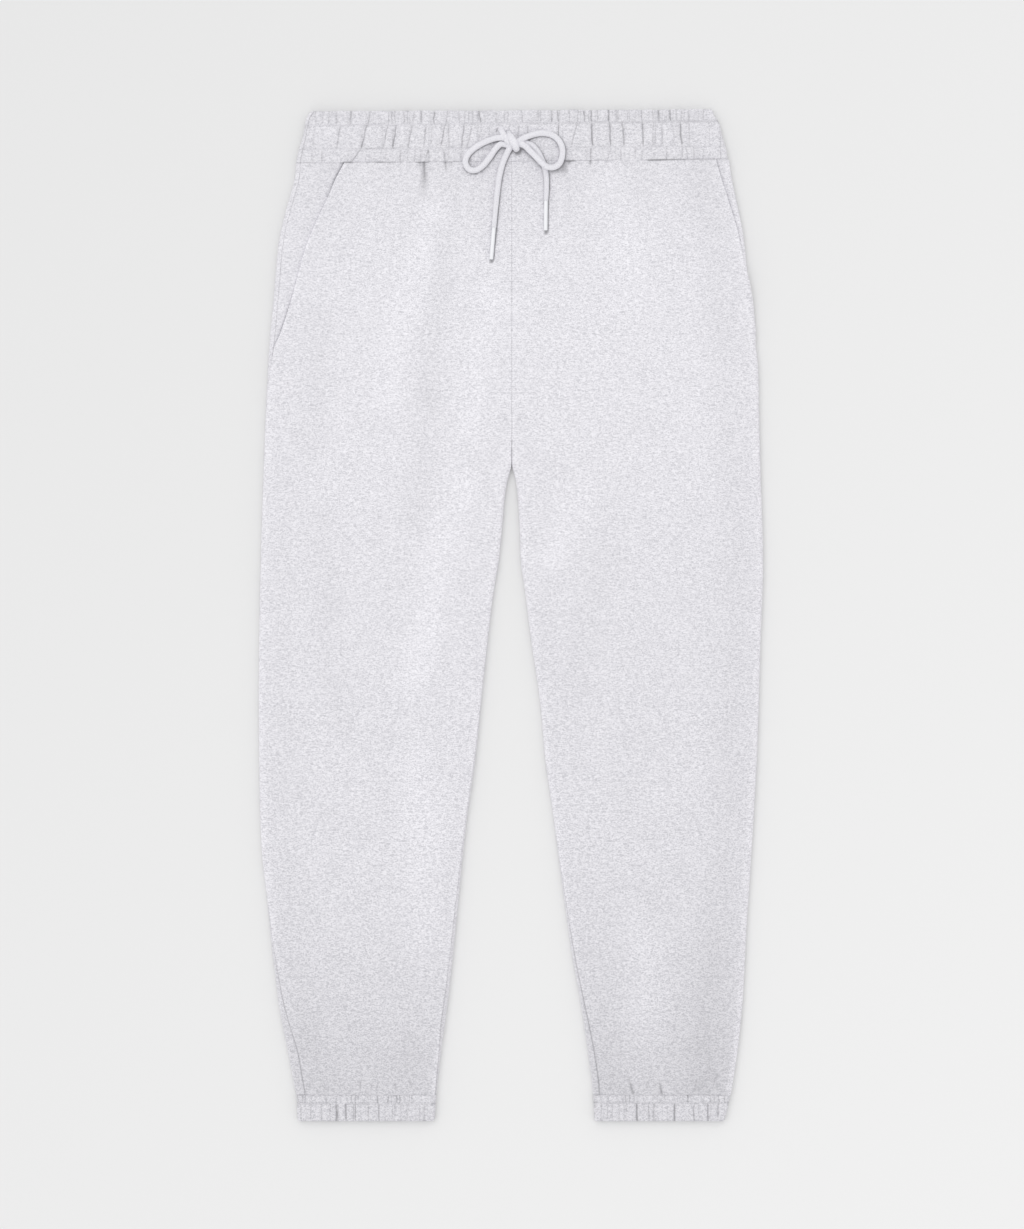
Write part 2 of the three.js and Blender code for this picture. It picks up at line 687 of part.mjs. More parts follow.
// Upper row of the waistband or a cuff: rolled ends, and three columns at each gather
const BAND_STEPS = [0, 2.4, 4.8, 7.2];
const BAND_INNER_STEPS = [0, 3.6, 7.2];
const BAND_INNER_PITCH = 70;

function gatheredXs(centres, from, to) {
  const sorted = [...centres].sort((p, q) => p - q);
  const xs = sorted.flatMap((x, k) => {
    const before = k > 0 ? (x - sorted[k - 1]) / 2 : GATHER_HALF;
    const after = k < sorted.length - 1 ? (sorted[k + 1] - x) / 2 : GATHER_HALF;
    const [left, right] = [Math.min(GATHER_HALF, before), Math.min(GATHER_HALF, after)];
    return [x - left, x, ...(right < GATHER_HALF ? [] : [x + right])];
  });
  return xs.filter((x) => x > from + 0.8 && x < to - 0.8);
}

function gatheredRow(section, stops, gathers, lean, strength, sink) {
  const centres = gathers.map(({ top, bottom }) => THREE.MathUtils.lerp(bottom, top, lean));
  const left = BAND_STEPS.map((step) => clothPoint(section, section.a, stops[0] + step, sink));
  const right = BAND_STEPS.map((step) => clothPoint(section, section.b, stops[1] + step, sink));
  right.reverse();
  const middle = gatheredXs(centres, left.at(-1).x, right[0].x).map((x) => {
    const dip = gathers.reduce((sum, { depth }, k) => {
      return sum + depth * strength * fade(Math.abs(x - centres[k]), GATHER_HALF);
    }, 0);
    return new THREE.Vector3(x, section.y(x), section.top(x) - dip - sink);
  });
  return [...left, ...middle, ...right];
}

// Rows of the waistband from its rolled top down to its seam: height of the crests, strength
// of the gathers, and how far the cloth turns in at the rolled top
const EDGE_ZONE = { from: UPPER_STITCH, to: BAND_EDGE, gathers: EDGE_GATHERS };
const CHANNEL_ZONE = { from: LOWER_STITCH, to: UPPER_STITCH, gathers: CHANNEL_GATHERS };
const SEAM_ZONE = { from: BAND_SEAM, to: LOWER_STITCH, gathers: SEAM_GATHERS };
const BAND_ROWS = [
  { zone: EDGE_ZONE, share: 1, crest: 9.0, strength: 0.3, sink: 1.5 },
  { zone: EDGE_ZONE, share: 0.93, crest: 9.2, strength: 0.9, sink: 0.3 },
  { zone: EDGE_ZONE, share: 0.5, crest: 9.7, strength: 1, sink: 0 },
  { zone: CHANNEL_ZONE, share: 1, crest: 8.9, strength: 0.6, sink: 0 },
  { zone: CHANNEL_ZONE, share: 0.78, crest: 9.9, strength: 1, sink: 0 },
  { zone: CHANNEL_ZONE, share: 0.25, crest: 9.9, strength: 1, sink: 0 },
  { zone: CHANNEL_ZONE, share: 0, crest: 8.9, strength: 0.6, sink: 0 },
  { zone: SEAM_ZONE, share: 0.5, crest: 9.6, strength: 1, sink: 0 },
  { zone: SEAM_ZONE, share: 0.02, crest: 8.6, strength: 0.6, sink: 0 },
];

function waistbandFront() {
  const rowAt = ({ zone, share, crest }) => bandSection(zone.from, zone.to, share, crest);
  const outer = BAND_ROWS.map((row) => {
    const section = rowAt(row);
    const stops = section.seams.map((seam) => seam + SEAM_GAP / 2);
    return gatheredRow(section, stops, row.zone.gathers, row.share, row.strength, row.sink);
  });
  const inner = BAND_ROWS.map((row) => {
    const section = rowAt({ ...row, crest: BAND_FOLD });
    const stops = section.seams.map((seam) => seam + SEAM_GAP / 2);
    const steps = [BAND_INNER_STEPS, BAND_INNER_STEPS];
    return upperRow(section, stops, () => BAND_WALL - row.sink, steps, BAND_INNER_PITCH);
  });
  return sheet(outer, inner);
}

function waistbandBack() {
  const rows = (depthAt) => BAND_ROWS.map((row) => {
    const section = bandSection(row.zone.from, row.zone.to, row.share, BAND_FOLD);
    const stops = section.seams.map((seam) => seam - SEAM_GAP / 2);
    return lowerRow(section, ...stops, depthAt(row.sink), BOTTOM_STEPS);
  });
  return sheet(rows((sink) => sink), rows((sink) => BAND_WALL - sink));
}

// A cuff: rows of the flattened ring from its seam to its hem
const CUFF_ROWS = [
  { at: 0.006, crest: 8.3, depth: 0.8, sink: 0 },
  { at: 0.14, crest: 9.4, depth: 1, sink: 0 },
  { at: 0.31, crest: 8.7, depth: 0.6, sink: 0 },
  { at: 0.5, crest: 9.6, depth: 1, sink: 0 },
  { at: 0.92, crest: 9.4, depth: 1, sink: 0 },
  { at: 1, crest: 9.0, depth: 0.4, sink: 1.2 },
];
const CUFF_INNER_ROWS = [
  { at: 0.006, wall: BAND_WALL },
  { at: 0.9, wall: BAND_WALL },
  { at: 1, wall: BAND_WALL - 1.2 },
];

function cuffSection(cuff, at, crest) {
  const level = THREE.MathUtils.lerp(CUFF_SEAM_Y, HEM_Y, at);
  const a = rolledEnd(THREE.MathUtils.lerp(cuff.top[0], cuff.hem[0], at), 1, BAND_FOLD);
  const b = rolledEnd(THREE.MathUtils.lerp(cuff.top[1], cuff.hem[1], at), -1, BAND_FOLD);
  const top = (x) => {
    const fromEnd = Math.min(x - a.x - a.radius, b.x - b.radius - x);
    return crest + (BAND_FOLD - crest) * fade(Math.max(fromEnd, 0), 10);
  };
  return { a, b, y: () => level, top };
}

function cuff(shape, gathers) {
  const leaning = gathers.map(({ x, depth }) => ({ top: x, bottom: x, depth }));
  const quarter = (BAND_FOLD * Math.PI) / 4;
  const around = (section, depth) => {
    const arc = (end, turns) => turns.map((turn) => clothPoint(section, end, turn * quarter, depth));
    return [...arc(section.b, [-0.33, -0.67, -1]), ...arc(section.a, [-1, -0.67, -0.33])];
  };
  const outer = CUFF_ROWS.map(({ at, crest, depth, sink }) => {
    const section = cuffSection(shape, at, crest);
    return [...gatheredRow(section, [0, 0], leaning, 0, depth, sink), ...around(section, sink)];
  });
  const inner = CUFF_INNER_ROWS.map(({ at, wall }) => {
    const section = cuffSection(shape, at, BAND_FOLD);
    const steps = [BAND_INNER_STEPS, BAND_INNER_STEPS];
    const over = upperRow(section, [0, 0], () => wall, steps, BAND_INNER_PITCH);
    return [...over, ...around(section, wall)];
  });
  return ring(outer, inner);
}

// The drawstring is one cord: its two ends come out at the front of the band, are tied in a
// bow, and hang down. Its strands are joined into one body where they pass through the knot.
const STRANDS = {
  rightExit: [[-10, 487, 10.3], [-10, 487, 12], [-8.6, 484.6, 14.6], [-5.4, 479, 15.6],
    [-2, 473, 15.8], [2, 469, 15.8]],
  leftExit: [[-3.6, 483, 10.3], [-3.6, 483, 12.4], [-2.4, 481.6, 16], [0.6, 478.6, 18.4],
    [4, 473, 18.6], [6, 468.5, 17]],
  rightLoopOver: [[-2, 471.5, 17.5], [-10.6, 477, 16], [-22, 472.3, 14.5], [-33.6, 467, 14],
    [-42.2, 459.7, 14], [-45.1, 452.2, 13.2], [-44, 446, 12.6], [-38.8, 443.6, 12.4]],
  rightLoopUnder: [[-44, 446, 12.6], [-38.8, 443.6, 12.4], [-32.5, 446, 12.8], [-25.6, 453.3, 14],
    [-17.5, 463.7, 15], [-10.6, 470, 16.5], [-3, 473.5, 17.5]],
  leftLoopOver: [[5, 473, 17.5], [10, 475.7, 16.5], [19, 480.3, 15], [29.5, 481.5, 14.5],
    [38.7, 480.3, 14.3], [46.8, 474.6, 14.2], [51.3, 466, 14.2], [50.8, 456.8, 14], [45.6, 449.3, 14]],
  leftLoopUnder: [[50.8, 456.8, 14], [45.6, 449.3, 14], [38.7, 447, 15.5], [31.8, 450, 18],
    [26, 457, 18.4], [21.5, 465, 17.6], [15.8, 470.6, 17], [8, 473.5, 17]],
  rightTail: [[3, 471, 15.2], [-1, 465, 14.4], [-4.6, 459, 13.8], [-9, 452.2, 12.6], [-12, 440.7, 11.6],
    [-13, 427, 11], [-13.5, 413.2, 10.6], [-15.2, 402, 10.2], [-16.6, 390.2, 9.9], [-16.9, 387.7, 9.8]],
  leftTail: [[8, 471, 14.4], [13, 468, 14], [18, 462.5, 13.8], [25, 454.5, 12.8], [31.8, 445.3, 11.6],
    [34.7, 437.3, 11], [35.8, 427, 10.6], [35.3, 415.5, 10.2], [35.2, 413.8, 10.2]],
  knot: [[-5.5, 484, 17.5], [-2.5, 480.5, 20.5], [1, 475, 21.5], [4.5, 467.5, 20], [6, 463, 16.5]],
};
const CORD_STEP = 5;
const CORD_SIDES = 8;
const ARC_SEGMENTS = CORD_SIDES / 2;
const TIP_LENGTH = 29;
const TIP_ROUTES = {
  right: { from: [-17, 387.2, 9.4], to: [-20, 356, 9.0] },
  left: { from: [35.1, 413.2, 9.4], to: [35.3, 384.5, 9.0] },
};

// A tube along a route, closed at both ends
function tube(route, diameter) {
  const curve = new THREE.CatmullRomCurve3(route.map((point) => new THREE.Vector3(...point)));
  const section = new THREE.Shape();
  section.absarc(0, 0, diameter / 2, 0, 2 * Math.PI);
  return new THREE.ExtrudeGeometry(section, {
    extrudePath: curve,
    steps: Math.max(2, Math.round(curve.getLength() / CORD_STEP)),
    curveSegments: ARC_SEGMENTS,
    bevelEnabled: false,
  });
}

// Joins closed meshes into one body
const wasm = await Module();
wasm.setup();

function solid(geometry) {
  const bare = geometry.clone();
  bare.deleteAttribute('normal');
  bare.deleteAttribute('uv');
  const merged = mergeVertices(bare, 1e-4);
  const mesh = new wasm.Mesh({
    numProp: 3,
    vertProperties: merged.attributes.position.array,
    triVerts: new Uint32Array(merged.index.array),
  });
  return new wasm.Manifold(mesh);
}

function joined(geometries) {
  const body = geometries.map(solid).reduce((whole, piece) => whole.add(piece)).simplify(0.02);
  const mesh = body.getMesh();
  const geometry = new THREE.BufferGeometry();
  geometry.setAttribute('position', new THREE.BufferAttribute(mesh.vertProperties, 3));
  geometry.setIndex([...mesh.triVerts]);
  geometry.computeVertexNormals();
  return geometry;
}

// A dipped cord tip: a thin round rod with a rounded free end
function cordTip() {
  const radius = TIP_DIAMETER / 2;
  const profile = [
    [0, 0],
    [radius, 0],
    [radius, TIP_LENGTH - 1.6],
    [radius * 0.75, TIP_LENGTH - 0.4],
    [0, TIP_LENGTH],
  ];
  return new THREE.LatheGeometry(profile.map((point) => new THREE.Vector2(...point)), 12);
}

// The garment
const trousers = new THREE.Group();

function add(name, geometry, color) {
  const material = new THREE.MeshStandardMaterial({ color, roughness: 0.95, metalness: 0 });
  const mesh = new THREE.Mesh(geometry, material);
  mesh.name = name;
  trousers.add(mesh);
  return mesh;
}

add('front_right', front(RIGHT), HEATHER);
add('front_left', front(LEFT), HEATHER);
add('back_right', back(RIGHT), HEATHER);
add('back_left', back(LEFT), HEATHER);
add('pocket_facing_right', facing(RIGHT), HEATHER);
add('pocket_facing_left', facing(LEFT), HEATHER);
add('waistband_front', waistbandFront(), BAND_HEATHER);
add('waistband_back', waistbandBack(), BAND_HEATHER);
add('cuff_right', cuff(CUFFS.right, RIGHT_CUFF_GATHERS), BAND_HEATHER);
add('cuff_left', cuff(CUFFS.left, LEFT_CUFF_GATHERS), BAND_HEATHER);
add('drawstring', joined(Object.values(STRANDS).map((route) => tube(route, CORD_DIAMETER))), CORD_GREY);
for (const [side, { from, to }] of Object.entries(TIP_ROUTES)) {
  const tip = add(`cord_tip_${side}`, cordTip(), TIP_GREY);
  const start = new THREE.Vector3(...from);
  const way = new THREE.Vector3(...to).sub(start).normalize();
  tip.position.copy(start);
  tip.quaternion.setFromUnitVectors(new THREE.Vector3(0, 1, 0), way);
}

export default trousers;
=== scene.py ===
"""Jogger sweatpants lying flat on their back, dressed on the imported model's frame.

X runs across the garment, +Y towards the waist and +Z up from the surface that it lies on.
Left and right are the wearer's. Tables and sections are in millimetres, meshes in metres.
"""

import math

import bpy
import numpy as np
from bpy.props import FloatProperty, FloatVectorProperty, PointerProperty
from bpy.types import Operator, Panel, PropertyGroup
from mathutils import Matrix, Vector


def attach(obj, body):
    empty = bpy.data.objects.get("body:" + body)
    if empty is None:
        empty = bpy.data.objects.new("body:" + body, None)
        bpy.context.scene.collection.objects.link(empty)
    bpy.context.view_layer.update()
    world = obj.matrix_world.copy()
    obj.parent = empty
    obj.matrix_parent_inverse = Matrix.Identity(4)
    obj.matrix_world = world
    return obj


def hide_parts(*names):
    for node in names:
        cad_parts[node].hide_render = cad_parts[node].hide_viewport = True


bl_info = {
    "name": "Jogger Sweatpants",
    "version": (1, 0, 0),
    "blender": (4, 5, 0),
    "location": "3D View > Sidebar > Sweatpants",
    "description": "Sweatpants lying flat, with gathered bands, pockets and a tied drawstring",
    "category": "Add Mesh",
}

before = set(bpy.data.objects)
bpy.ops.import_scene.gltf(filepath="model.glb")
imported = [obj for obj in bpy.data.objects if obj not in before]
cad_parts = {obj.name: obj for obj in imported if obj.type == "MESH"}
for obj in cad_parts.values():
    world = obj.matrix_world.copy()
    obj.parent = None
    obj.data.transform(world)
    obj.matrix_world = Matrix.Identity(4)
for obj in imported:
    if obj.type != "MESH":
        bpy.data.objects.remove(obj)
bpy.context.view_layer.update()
MM = 0.001


# Sizes and colours that a user would change


class ClothSettings(PropertyGroup):
    wall: FloatProperty(
        name="Cloth", description="Thickness of the fleece", default=2.2 * MM, unit="LENGTH"
    )
    band_wall: FloatProperty(
        name="Band", description="Thickness of a doubled band", default=4.0 * MM, unit="LENGTH"
    )
    fold_depth: FloatProperty(
        name="Folds", description="Strength of the soft folds", default=1.0, subtype="FACTOR"
    )
    crease_depth: FloatProperty(
        name="Gathers", description="Strength of the gathers", default=1.0, subtype="FACTOR"
    )
    stitch_length: FloatProperty(
        name="Stitch", description="Length of one stitch", default=2.7 * MM, unit="LENGTH"
    )
    thread: FloatProperty(
        name="Thread", description="Thickness of the thread", default=0.45 * MM, unit="LENGTH"
    )
    light_yarn: FloatVectorProperty(
        name="Light yarn",
        description="Paler yarn of the heather",
        default=(0.915, 0.903, 0.944),
        subtype="COLOR",
    )
    dark_yarn: FloatVectorProperty(
        name="Dark yarn",
        description="Darker yarn of the heather",
        default=(0.60, 0.594, 0.632),
        subtype="COLOR",
    )


class CordSettings(PropertyGroup):
    diameter: FloatProperty(
        name="Cord", description="Diameter of the drawstring", default=6.0 * MM, unit="LENGTH"
    )
    tip_diameter: FloatProperty(
        name="Tip", description="Diameter of a dipped tip", default=4.2 * MM, unit="LENGTH"
    )
    color: FloatVectorProperty(
        name="Cord colour", description="Cotton", default=(0.873, 0.864, 0.937), subtype="COLOR"
    )
    tip_color: FloatVectorProperty(
        name="Tip colour", description="Dipped ends", default=(0.90, 0.905, 0.935), subtype="COLOR"
    )


class StageSettings(PropertyGroup):
    camera_height: FloatProperty(
        name="Camera", description="Height above the garment", default=6.0, unit="LENGTH"
    )
    view_height: FloatProperty(
        name="View", description="Height of the picture's field", default=1.229, unit="LENGTH"
    )
    floor_color: FloatVectorProperty(
        name="Floor", description="Plain pale floor", default=(0.79, 0.79, 0.79), subtype="COLOR"
    )
    sky: FloatProperty(name="Fill", description="Strength of the even light", default=0.88)
    key: FloatProperty(name="Key", description="Strength of the soft lamp", default=0.63)
    softness: FloatProperty(
        name="Softness", description="How wide the lamp looks", default=1.1, subtype="ANGLE"
    )


# Section tables, as in the part's source


class Table:
    """Rows of numbers under named columns, with the first column falling from row to row."""

    def __init__(self, columns, *rows):
        self.names = columns.split()
        self.values = dict(zip(self.names, np.array(rows, float).T))

    def rows(self):
        return [dict(zip(self.names, row)) for row in zip(*self.values.values())]

    def between(self, column, place):
        """Value of a column straight between its rows."""
        return np.interp(-place, -self.values[self.names[0]], self.values[column])

    def at(self, column, y):
        """Value of a column at a height, on a smooth curve through its rows."""
        ys, xs = self.values[self.names[0]], self.values[column]
        spots = np.arange(len(ys))
        before, after = np.maximum(spots - 1, 0), np.minimum(spots + 1, len(ys) - 1)
        slopes = (xs[after] - xs[before]) / (ys[after] - ys[before])
        y = np.clip(y, ys[-1], ys[0])
        k = np.clip(np.searchsorted(-ys, -y, side="right") - 1, 0, len(ys) - 2)
        span = ys[k + 1] - ys[k]
        t = (y - ys[k]) / span
        start = (2 * t**3 - 3 * t**2 + 1) * xs[k] + (t**3 - 2 * t**2 + t) * span * slopes[k]
        end = (3 * t**2 - 2 * t**3) * xs[k + 1] + (t**3 - t**2) * span * slopes[k + 1]
        return start + end


RIGHT_OUTER = Table(
    "y x seam",
    (452, -215.5, 7.3),
    (438, -216.5, 7.3),
    (405, -225.3, 7.3),
    (372, -232.6, 7.3),
    (322, -237.2, 7.3),
    (269, -242.0, 7.3),
    (223, -244.4, 2.5),
    (149, -247.4, 0.5),
    (60, -250.2, 0),
    (-45, -252.2, 0),
    (-150, -252.0, 0),
    (-236, -249.3, 0.5),
    (-285, -244.0, 2.0),
    (-341, -238.3, 4.6),
    (-395, -231.4, 8.2),
    (-435, -223.5, 11.9),
    (-480, -215.0, 12.0),
)
LEFT_OUTER = Table(
    "y x seam",
    (455, 217.7, -2.0),
    (433, 221.2, -2.0),
    (412, 225.9, -2.0),
    (382, 232.0, -2.0),
    (347, 236.0, -2.0),
    (314, 239.3, -2.0),
    (280, 243.0, -2.0),
    (250, 247.0, -2.0),
    (198, 248.2, -2.0),
    (139, 249.8, -2.0),
    (51, 252.3, -2.0),
    (-30, 249.6, -2.0),
    (-145, 246.0, -2.0),
    (-245, 240.2, -2.0),
    (-314, 235.6, -2.0),
    (-383, 232.0, -2.0),
    (-434, 227.0, -2.0),
    (-480, 220.0, -2.0),
)
RIGHT_INNER = Table(
    "y x seam",
    (149, 0.65, 0),
    (134, -3.6, 0),
    (118, -6.2, 0),
    (93, -8.4, 0),
    (53, -12.4, 0),
    (28, -16.6, 0.5),
    (-9, -21.4, 1.0),
    (-90, -30.0, 2.0),
    (-145, -35.6, 3.2),
    (-211, -44.8, 3.2),
    (-287, -52.6, 4.7),
    (-369, -61.0, 5.8),
    (-410, -66.2, 6.2),
    (-440, -70.4, 4.0),
    (-480, -74.7, 3.0),
)
LEFT_INNER = Table(
    "y x seam",
    (149, 0.95, 0),
    (134, 4.8, 0),
    (114, 7.0, 0),
    (83, 8.8, 0),
    (53, 9.8, 0),
    (28, 13.3, 0),
    (-29, 20.6, 0),
    (-90, 29.4, 0),
    (-145, 34.2, 0.5),
    (-192, 41.0, 1.0),
    (-277, 52.0, 3.5),
    (-346, 61.8, 5.3),
    (-381, 68.4, 5.9),
    (-423, 74.8, 8.2),
    (-466, 80.8, 9.2),
    (-480, 81.7, 9.0),
)
RIGHT_MOUTH = Table(
    "y past",
    (453, 51.0),
    (438, 43.9),
    (419, 41.0),
    (402, 37.5),
    (369, 30.5),
    (311, 19.6),
    (294, 15.8),
    (279, 12.0),
    (269, 7.6),
)
LEFT_MOUTH = Table(
    "y past",
    (456, 16.0),
    (429, 12.2),
    (400, 9.0),
    (375, 6.6),
    (353, 5.2),
    (330, 1.9),
    (314, 0.0),
    (298, -1.8),
)
# Shade painted under the pockets' mouths, right and left, at each height
MOUTH_SHADE = Table(
    "y right left",
    (455, 0.9, 0.3),
    (438, 0.8, 0.15),
    (426, 0.45, 0.1),
    (416, 0.1, 0.15),
    (400, 0.05, 0.2),
    (380, 0.0, 0.2),
    (365, 0.0, 0.05),
    (320, 0.1, 0.0),
    (298, 0.4, 0.0),
    (280, 0.35, 0.0),
    (269, 0.15, 0.0),
)
FRONT_LEVEL = Table(
    "y level fold",
    (456, 7.9, 8.9),
    (440, 7.2, 8.5),
    (412, 6.1, 8.2),
    (380, 5.8, 8.2),
    (0, 5.8, 8.2),
    (-430, 5.9, 8.2),
    (-455, 7.2, 8.3),
    (-470, 8.4, 8.6),
    (-480, 7.8, 8.6),
)
CENTRE_HEIGHT = Table(
    "y height",
    (456, 7.6),
    (430, 6.2),
    (390, 5.4),
    (185, 5.4),
    (165, 6.0),
    (149, 7.0),
    (120, 8.2),
)
BAND_ENDS = Table(
    "y right left seam_right seam_left",
    (506, -199.5, 201.0, 6.0, 2.0),
    (498, -204.8, 203.4, 6.0, 2.0),
    (489, -207.0, 208.4, 6.0, 2.5),
    (477, -209.2, 211.2, 6.0, 4.5),
    (467, -212.2, 214.6, 6.5, 8.0),
    (452, -215.4, 217.2, 7.2, 10.0),
)

# Soft folds, each from one point to another, with its half width and its height or depth
FOLD_COLUMNS = "x1 y1 x2 y2 half height"
RIGHT_FOLDS = Table(
    FOLD_COLUMNS,
    (-63, 375, -86, 215, 13, -0.9),
    (-86, 215, -94, 100, 15, -0.8),
    (-188, 300, -197, 170, 15, -0.9),
    (-192, 90, -168, -110, 15, -0.8),
    (-78, 400, -130, 210, 14, 1.2),
    (-18, 320, -42, 190, 14, 0.9),
    (-50, 130, -98, -70, 17, 1.4),
    (-95, -150, -88, -330, 22, 1.0),
    (-131, 442, -128, 422, 20, 0.5),
    (-204, -405, -206, -430, 13, -0.5),
    (-104, -430, -98, -450, 12, -0.5),
    (-24, 147, -23, 112, 4, -0.5),
    (-40, 60, -118, 20, 8, -0.3),
    (-60, -10, -150, -45, 9, 0.3),
    (-210, -180, -150, -215, 9, -0.3),
    (-140, -250, -190, -275, 8, 0.25),
)
LEFT_FOLDS = Table(
    FOLD_COLUMNS,
    (95, 60, 60, -75, 15, -0.7),
    (72, 125, 38, 52, 16, 1.0),
    (100, 430, 120, 330, 26, 0.8),
    (130, -330, 132, -440, 24, 1.2),
    (196, -330, 188, -430, 15, -0.6),
    (202, 320, 206, 270, 14, -0.5),
    (105, -455, 116, -480, 5, -0.6),
    (128, -456, 140, -476, 6, 0.5),
    (151, -462, 163, -478, 6, 0.4),
    (203, -456, 188, -479, 6, -0.6),
    (25, 150, 90, 122, 7, -0.35),
    (45, 20, 120, -8, 8, 0.3),
    (220, 60, 168, 20, 9, -0.3),
    (210, -150, 150, -182, 9, 0.3),
    (92, -260, 150, -278, 8, -0.25),
)
BACK_FOLDS = Table(
    FOLD_COLUMNS,
    (-70, 330, -110, 160, 12, 0.7),
    (-205, 120, -180, -60, 13, 0.6),
    (-110, 20, -160, -150, 11, 0.5),
    (-80, -120, -150, -260, 12, 0.6),
    (-200, -300, -140, -390, 10, 0.5),
    (60, 300, 100, 140, 13, 0.7),
    (30, 150, 110, 118, 8, 0.4),
    (190, 80, 160, -110, 13, 0.6),
    (90, -40, 140, -190, 11, 0.5),
    (210, -220, 150, -350, 12, 0.6),
    (100, -390, 180, -420, 9, 0.4),
)

# Sharp little creases of the fronts, under the waistband and over the cuffs
CREASE_COLUMNS = "x1 y1 x2 y2 half depth"
RIGHT_CREASES = Table(
    CREASE_COLUMNS,
    (-87.2, 455, -86.0, 434, 0.85, 1.6),
    (-86.5, 452, -88.5, 414, 5.0, 0.35),
    (-91.2, 455, -91.0, 443, 1.0, 0.6),
    (-86.3, 440, -88.5, 415, 3.0, 0.4),
    (-65.6, 455, -64.6, 441, 1.0, 1.4),
    (-59.4, 455, -59.5, 446, 1.0, 0.7),
    (-121, 455, -124.0, 444, 1.4, 0.4),
    (-150.4, -468, -151.5, -480, 1.0, 0.8),
    (-139.5, -471, -140, -480, 0.9, 0.5),
    (-134.0, -470, -134, -480, 0.9, 0.5),
    (-101.0, -466, -99.5, -473, 1.2, 0.7),
    (-116.0, -468, -115, -480, 1.0, 0.5),
    (-186.0, -473, -187, -480, 1.0, 0.4),
)
LEFT_CREASES = Table(
    CREASE_COLUMNS,
    (52.0, 456, 51.0, 441, 1.8, 1.7),
    (58.5, 456, 57.0, 447, 1.4, 0.9),
    (79.4, 456, 79.2, 445, 1.0, 1.2),
    (96.2, 456, 95.4, 450, 1.0, 0.8),
    (115, 456, 116, 446, 1.3, 0.4),
    (172, 456, 173, 449, 1.3, 0.5),
    (122.0, -478, 116.6, -459, 1.2, 1.1),
    (150.8, -478, 147.0, -460, 1.2, 1.1),
    (135.7, -468, 136.2, -478, 1.0, 0.6),
    (206.0, -460, 201.0, -472, 1.3, 0.4),
    (185.0, -466, 184.0, -478, 1.0, 0.5),
    (99.0, -468, 100, -478, 1.0, 0.5),
)

# Painted shade along the waist's seam, under the band's edge, and the legs' painted shade at each height
WAIST_SHADE = Table(
    "x dark",
    (216, 0.3),
    (206, 0.35),
    (180, 0.35),
    (170, 0.5),
    (160, 0.8),
    (140, 0.95),
    (134, 0.1),
    (99, 0.05),
    (95, 0.2),
    (76, 0.2),
    (67, 0.1),
    (62, 0.65),
    (54, 0.65),
    (49, 0.1),
    (-49, 0.1),
    (-52, 0.25),
    (-69, 0.2),
    (-73, 0.1),
    (-81, 0.1),
    (-84, 0.55),
    (-94, 0.5),
    (-98, 0.1),
    (-112, 0.05),
    (-117, 0.25),
    (-125, 0.5),
    (-133, 0.7),
    (-137, 0.3),
    (-148, 0.2),
    (-156, 0.35),
    (-159, 0.75),
    (-168, 0.7),
    (-172, 0.1),
    (-196, 0.1),
    (-200, 0.5),
    (-206, 0.4),
    (-216, 0.15),
)
LEG_SHADE = Table(
    "y shade",
    (456, 0.15),
    (430, 0.13),
    (350, 0.07),
    (270, 0.06),
    (150, 0.07),
    (30, 0.09),
    (-90, 0.11),
    (-210, 0.13),
    (-290, 0.17),
    (-370, 0.24),
    (-410, 0.29),
    (-450, 0.35),
    (-480, 0.38),
)

# Waistband: height of each line at its right and left ends, from the rolled top to the seam
BAND_LINES = Table(
    "step right left",
    (3, 451.6, 455.6),
    (2, 465.0, 468.0),
    (1, 489.0, 494.2),
    (0, 503.6, 506.0),
)
GATHER_COLUMNS = "top bottom depth"
SLITS = Table(
    CREASE_COLUMNS,
    (-14.6, 483.4, -12.8, 488.0, 0.8, 1.1),
    (-5.4, 481.8, -2.0, 483.8, 0.8, 0.9),
)
EDGE_GATHERS = Table(
    GATHER_COLUMNS,
    (-187.5, -188.5, 0.6),
    (-181.6, -182.0, 0.6),
    (-175.3, -174.5, 0.6),
    (-160.2, -160.6, 0.9),
    (-140.6, -143.0, 0.9),
    (-122.0, -122.6, 0.8),
    (-116.4, -115.4, 0.8),
    (-107.0, -106.4, 0.7),
    (-97.0, -98.0, 0.8),
    (-90.0, -88.8, 0.7),
    (-76.5, -77.5, 1.2),
    (-63.0, -64.6, 0.8),
    (-52.0, -51.4, 0.7),
    (-46.0, -46.4, 0.7),
    (-38.5, -38.2, 0.7),
    (-31.5, -30.6, 1.2),
    (-15.0, -14.4, 0.7),
    (-3.0, -3.6, 0.7),
    (10.7, 11.4, 0.7),
    (27.6, 27.0, 0.7),
    (40.0, 40.6, 0.8),
    (46.0, 47.4, 1.2),
    (67.0, 66.4, 0.8),
    (73.0, 73.8, 1.2),
    (80.5, 80.2, 1.2),
    (86.5, 87.0, 0.8),
    (97.0, 97.8, 1.2),
    (106.0, 106.6, 0.7),
    (117.0, 116.4, 0.7),
    (130.0, 131.0, 0.8),
    (141.5, 142.2, 0.7),
    (147.5, 148.4, 0.8),
    (159.0, 159.6, 1.2),
    (165.0, 166.0, 0.7),
    (177.0, 177.6, 0.7),
    (192.0, 192.6, 0.7),
)
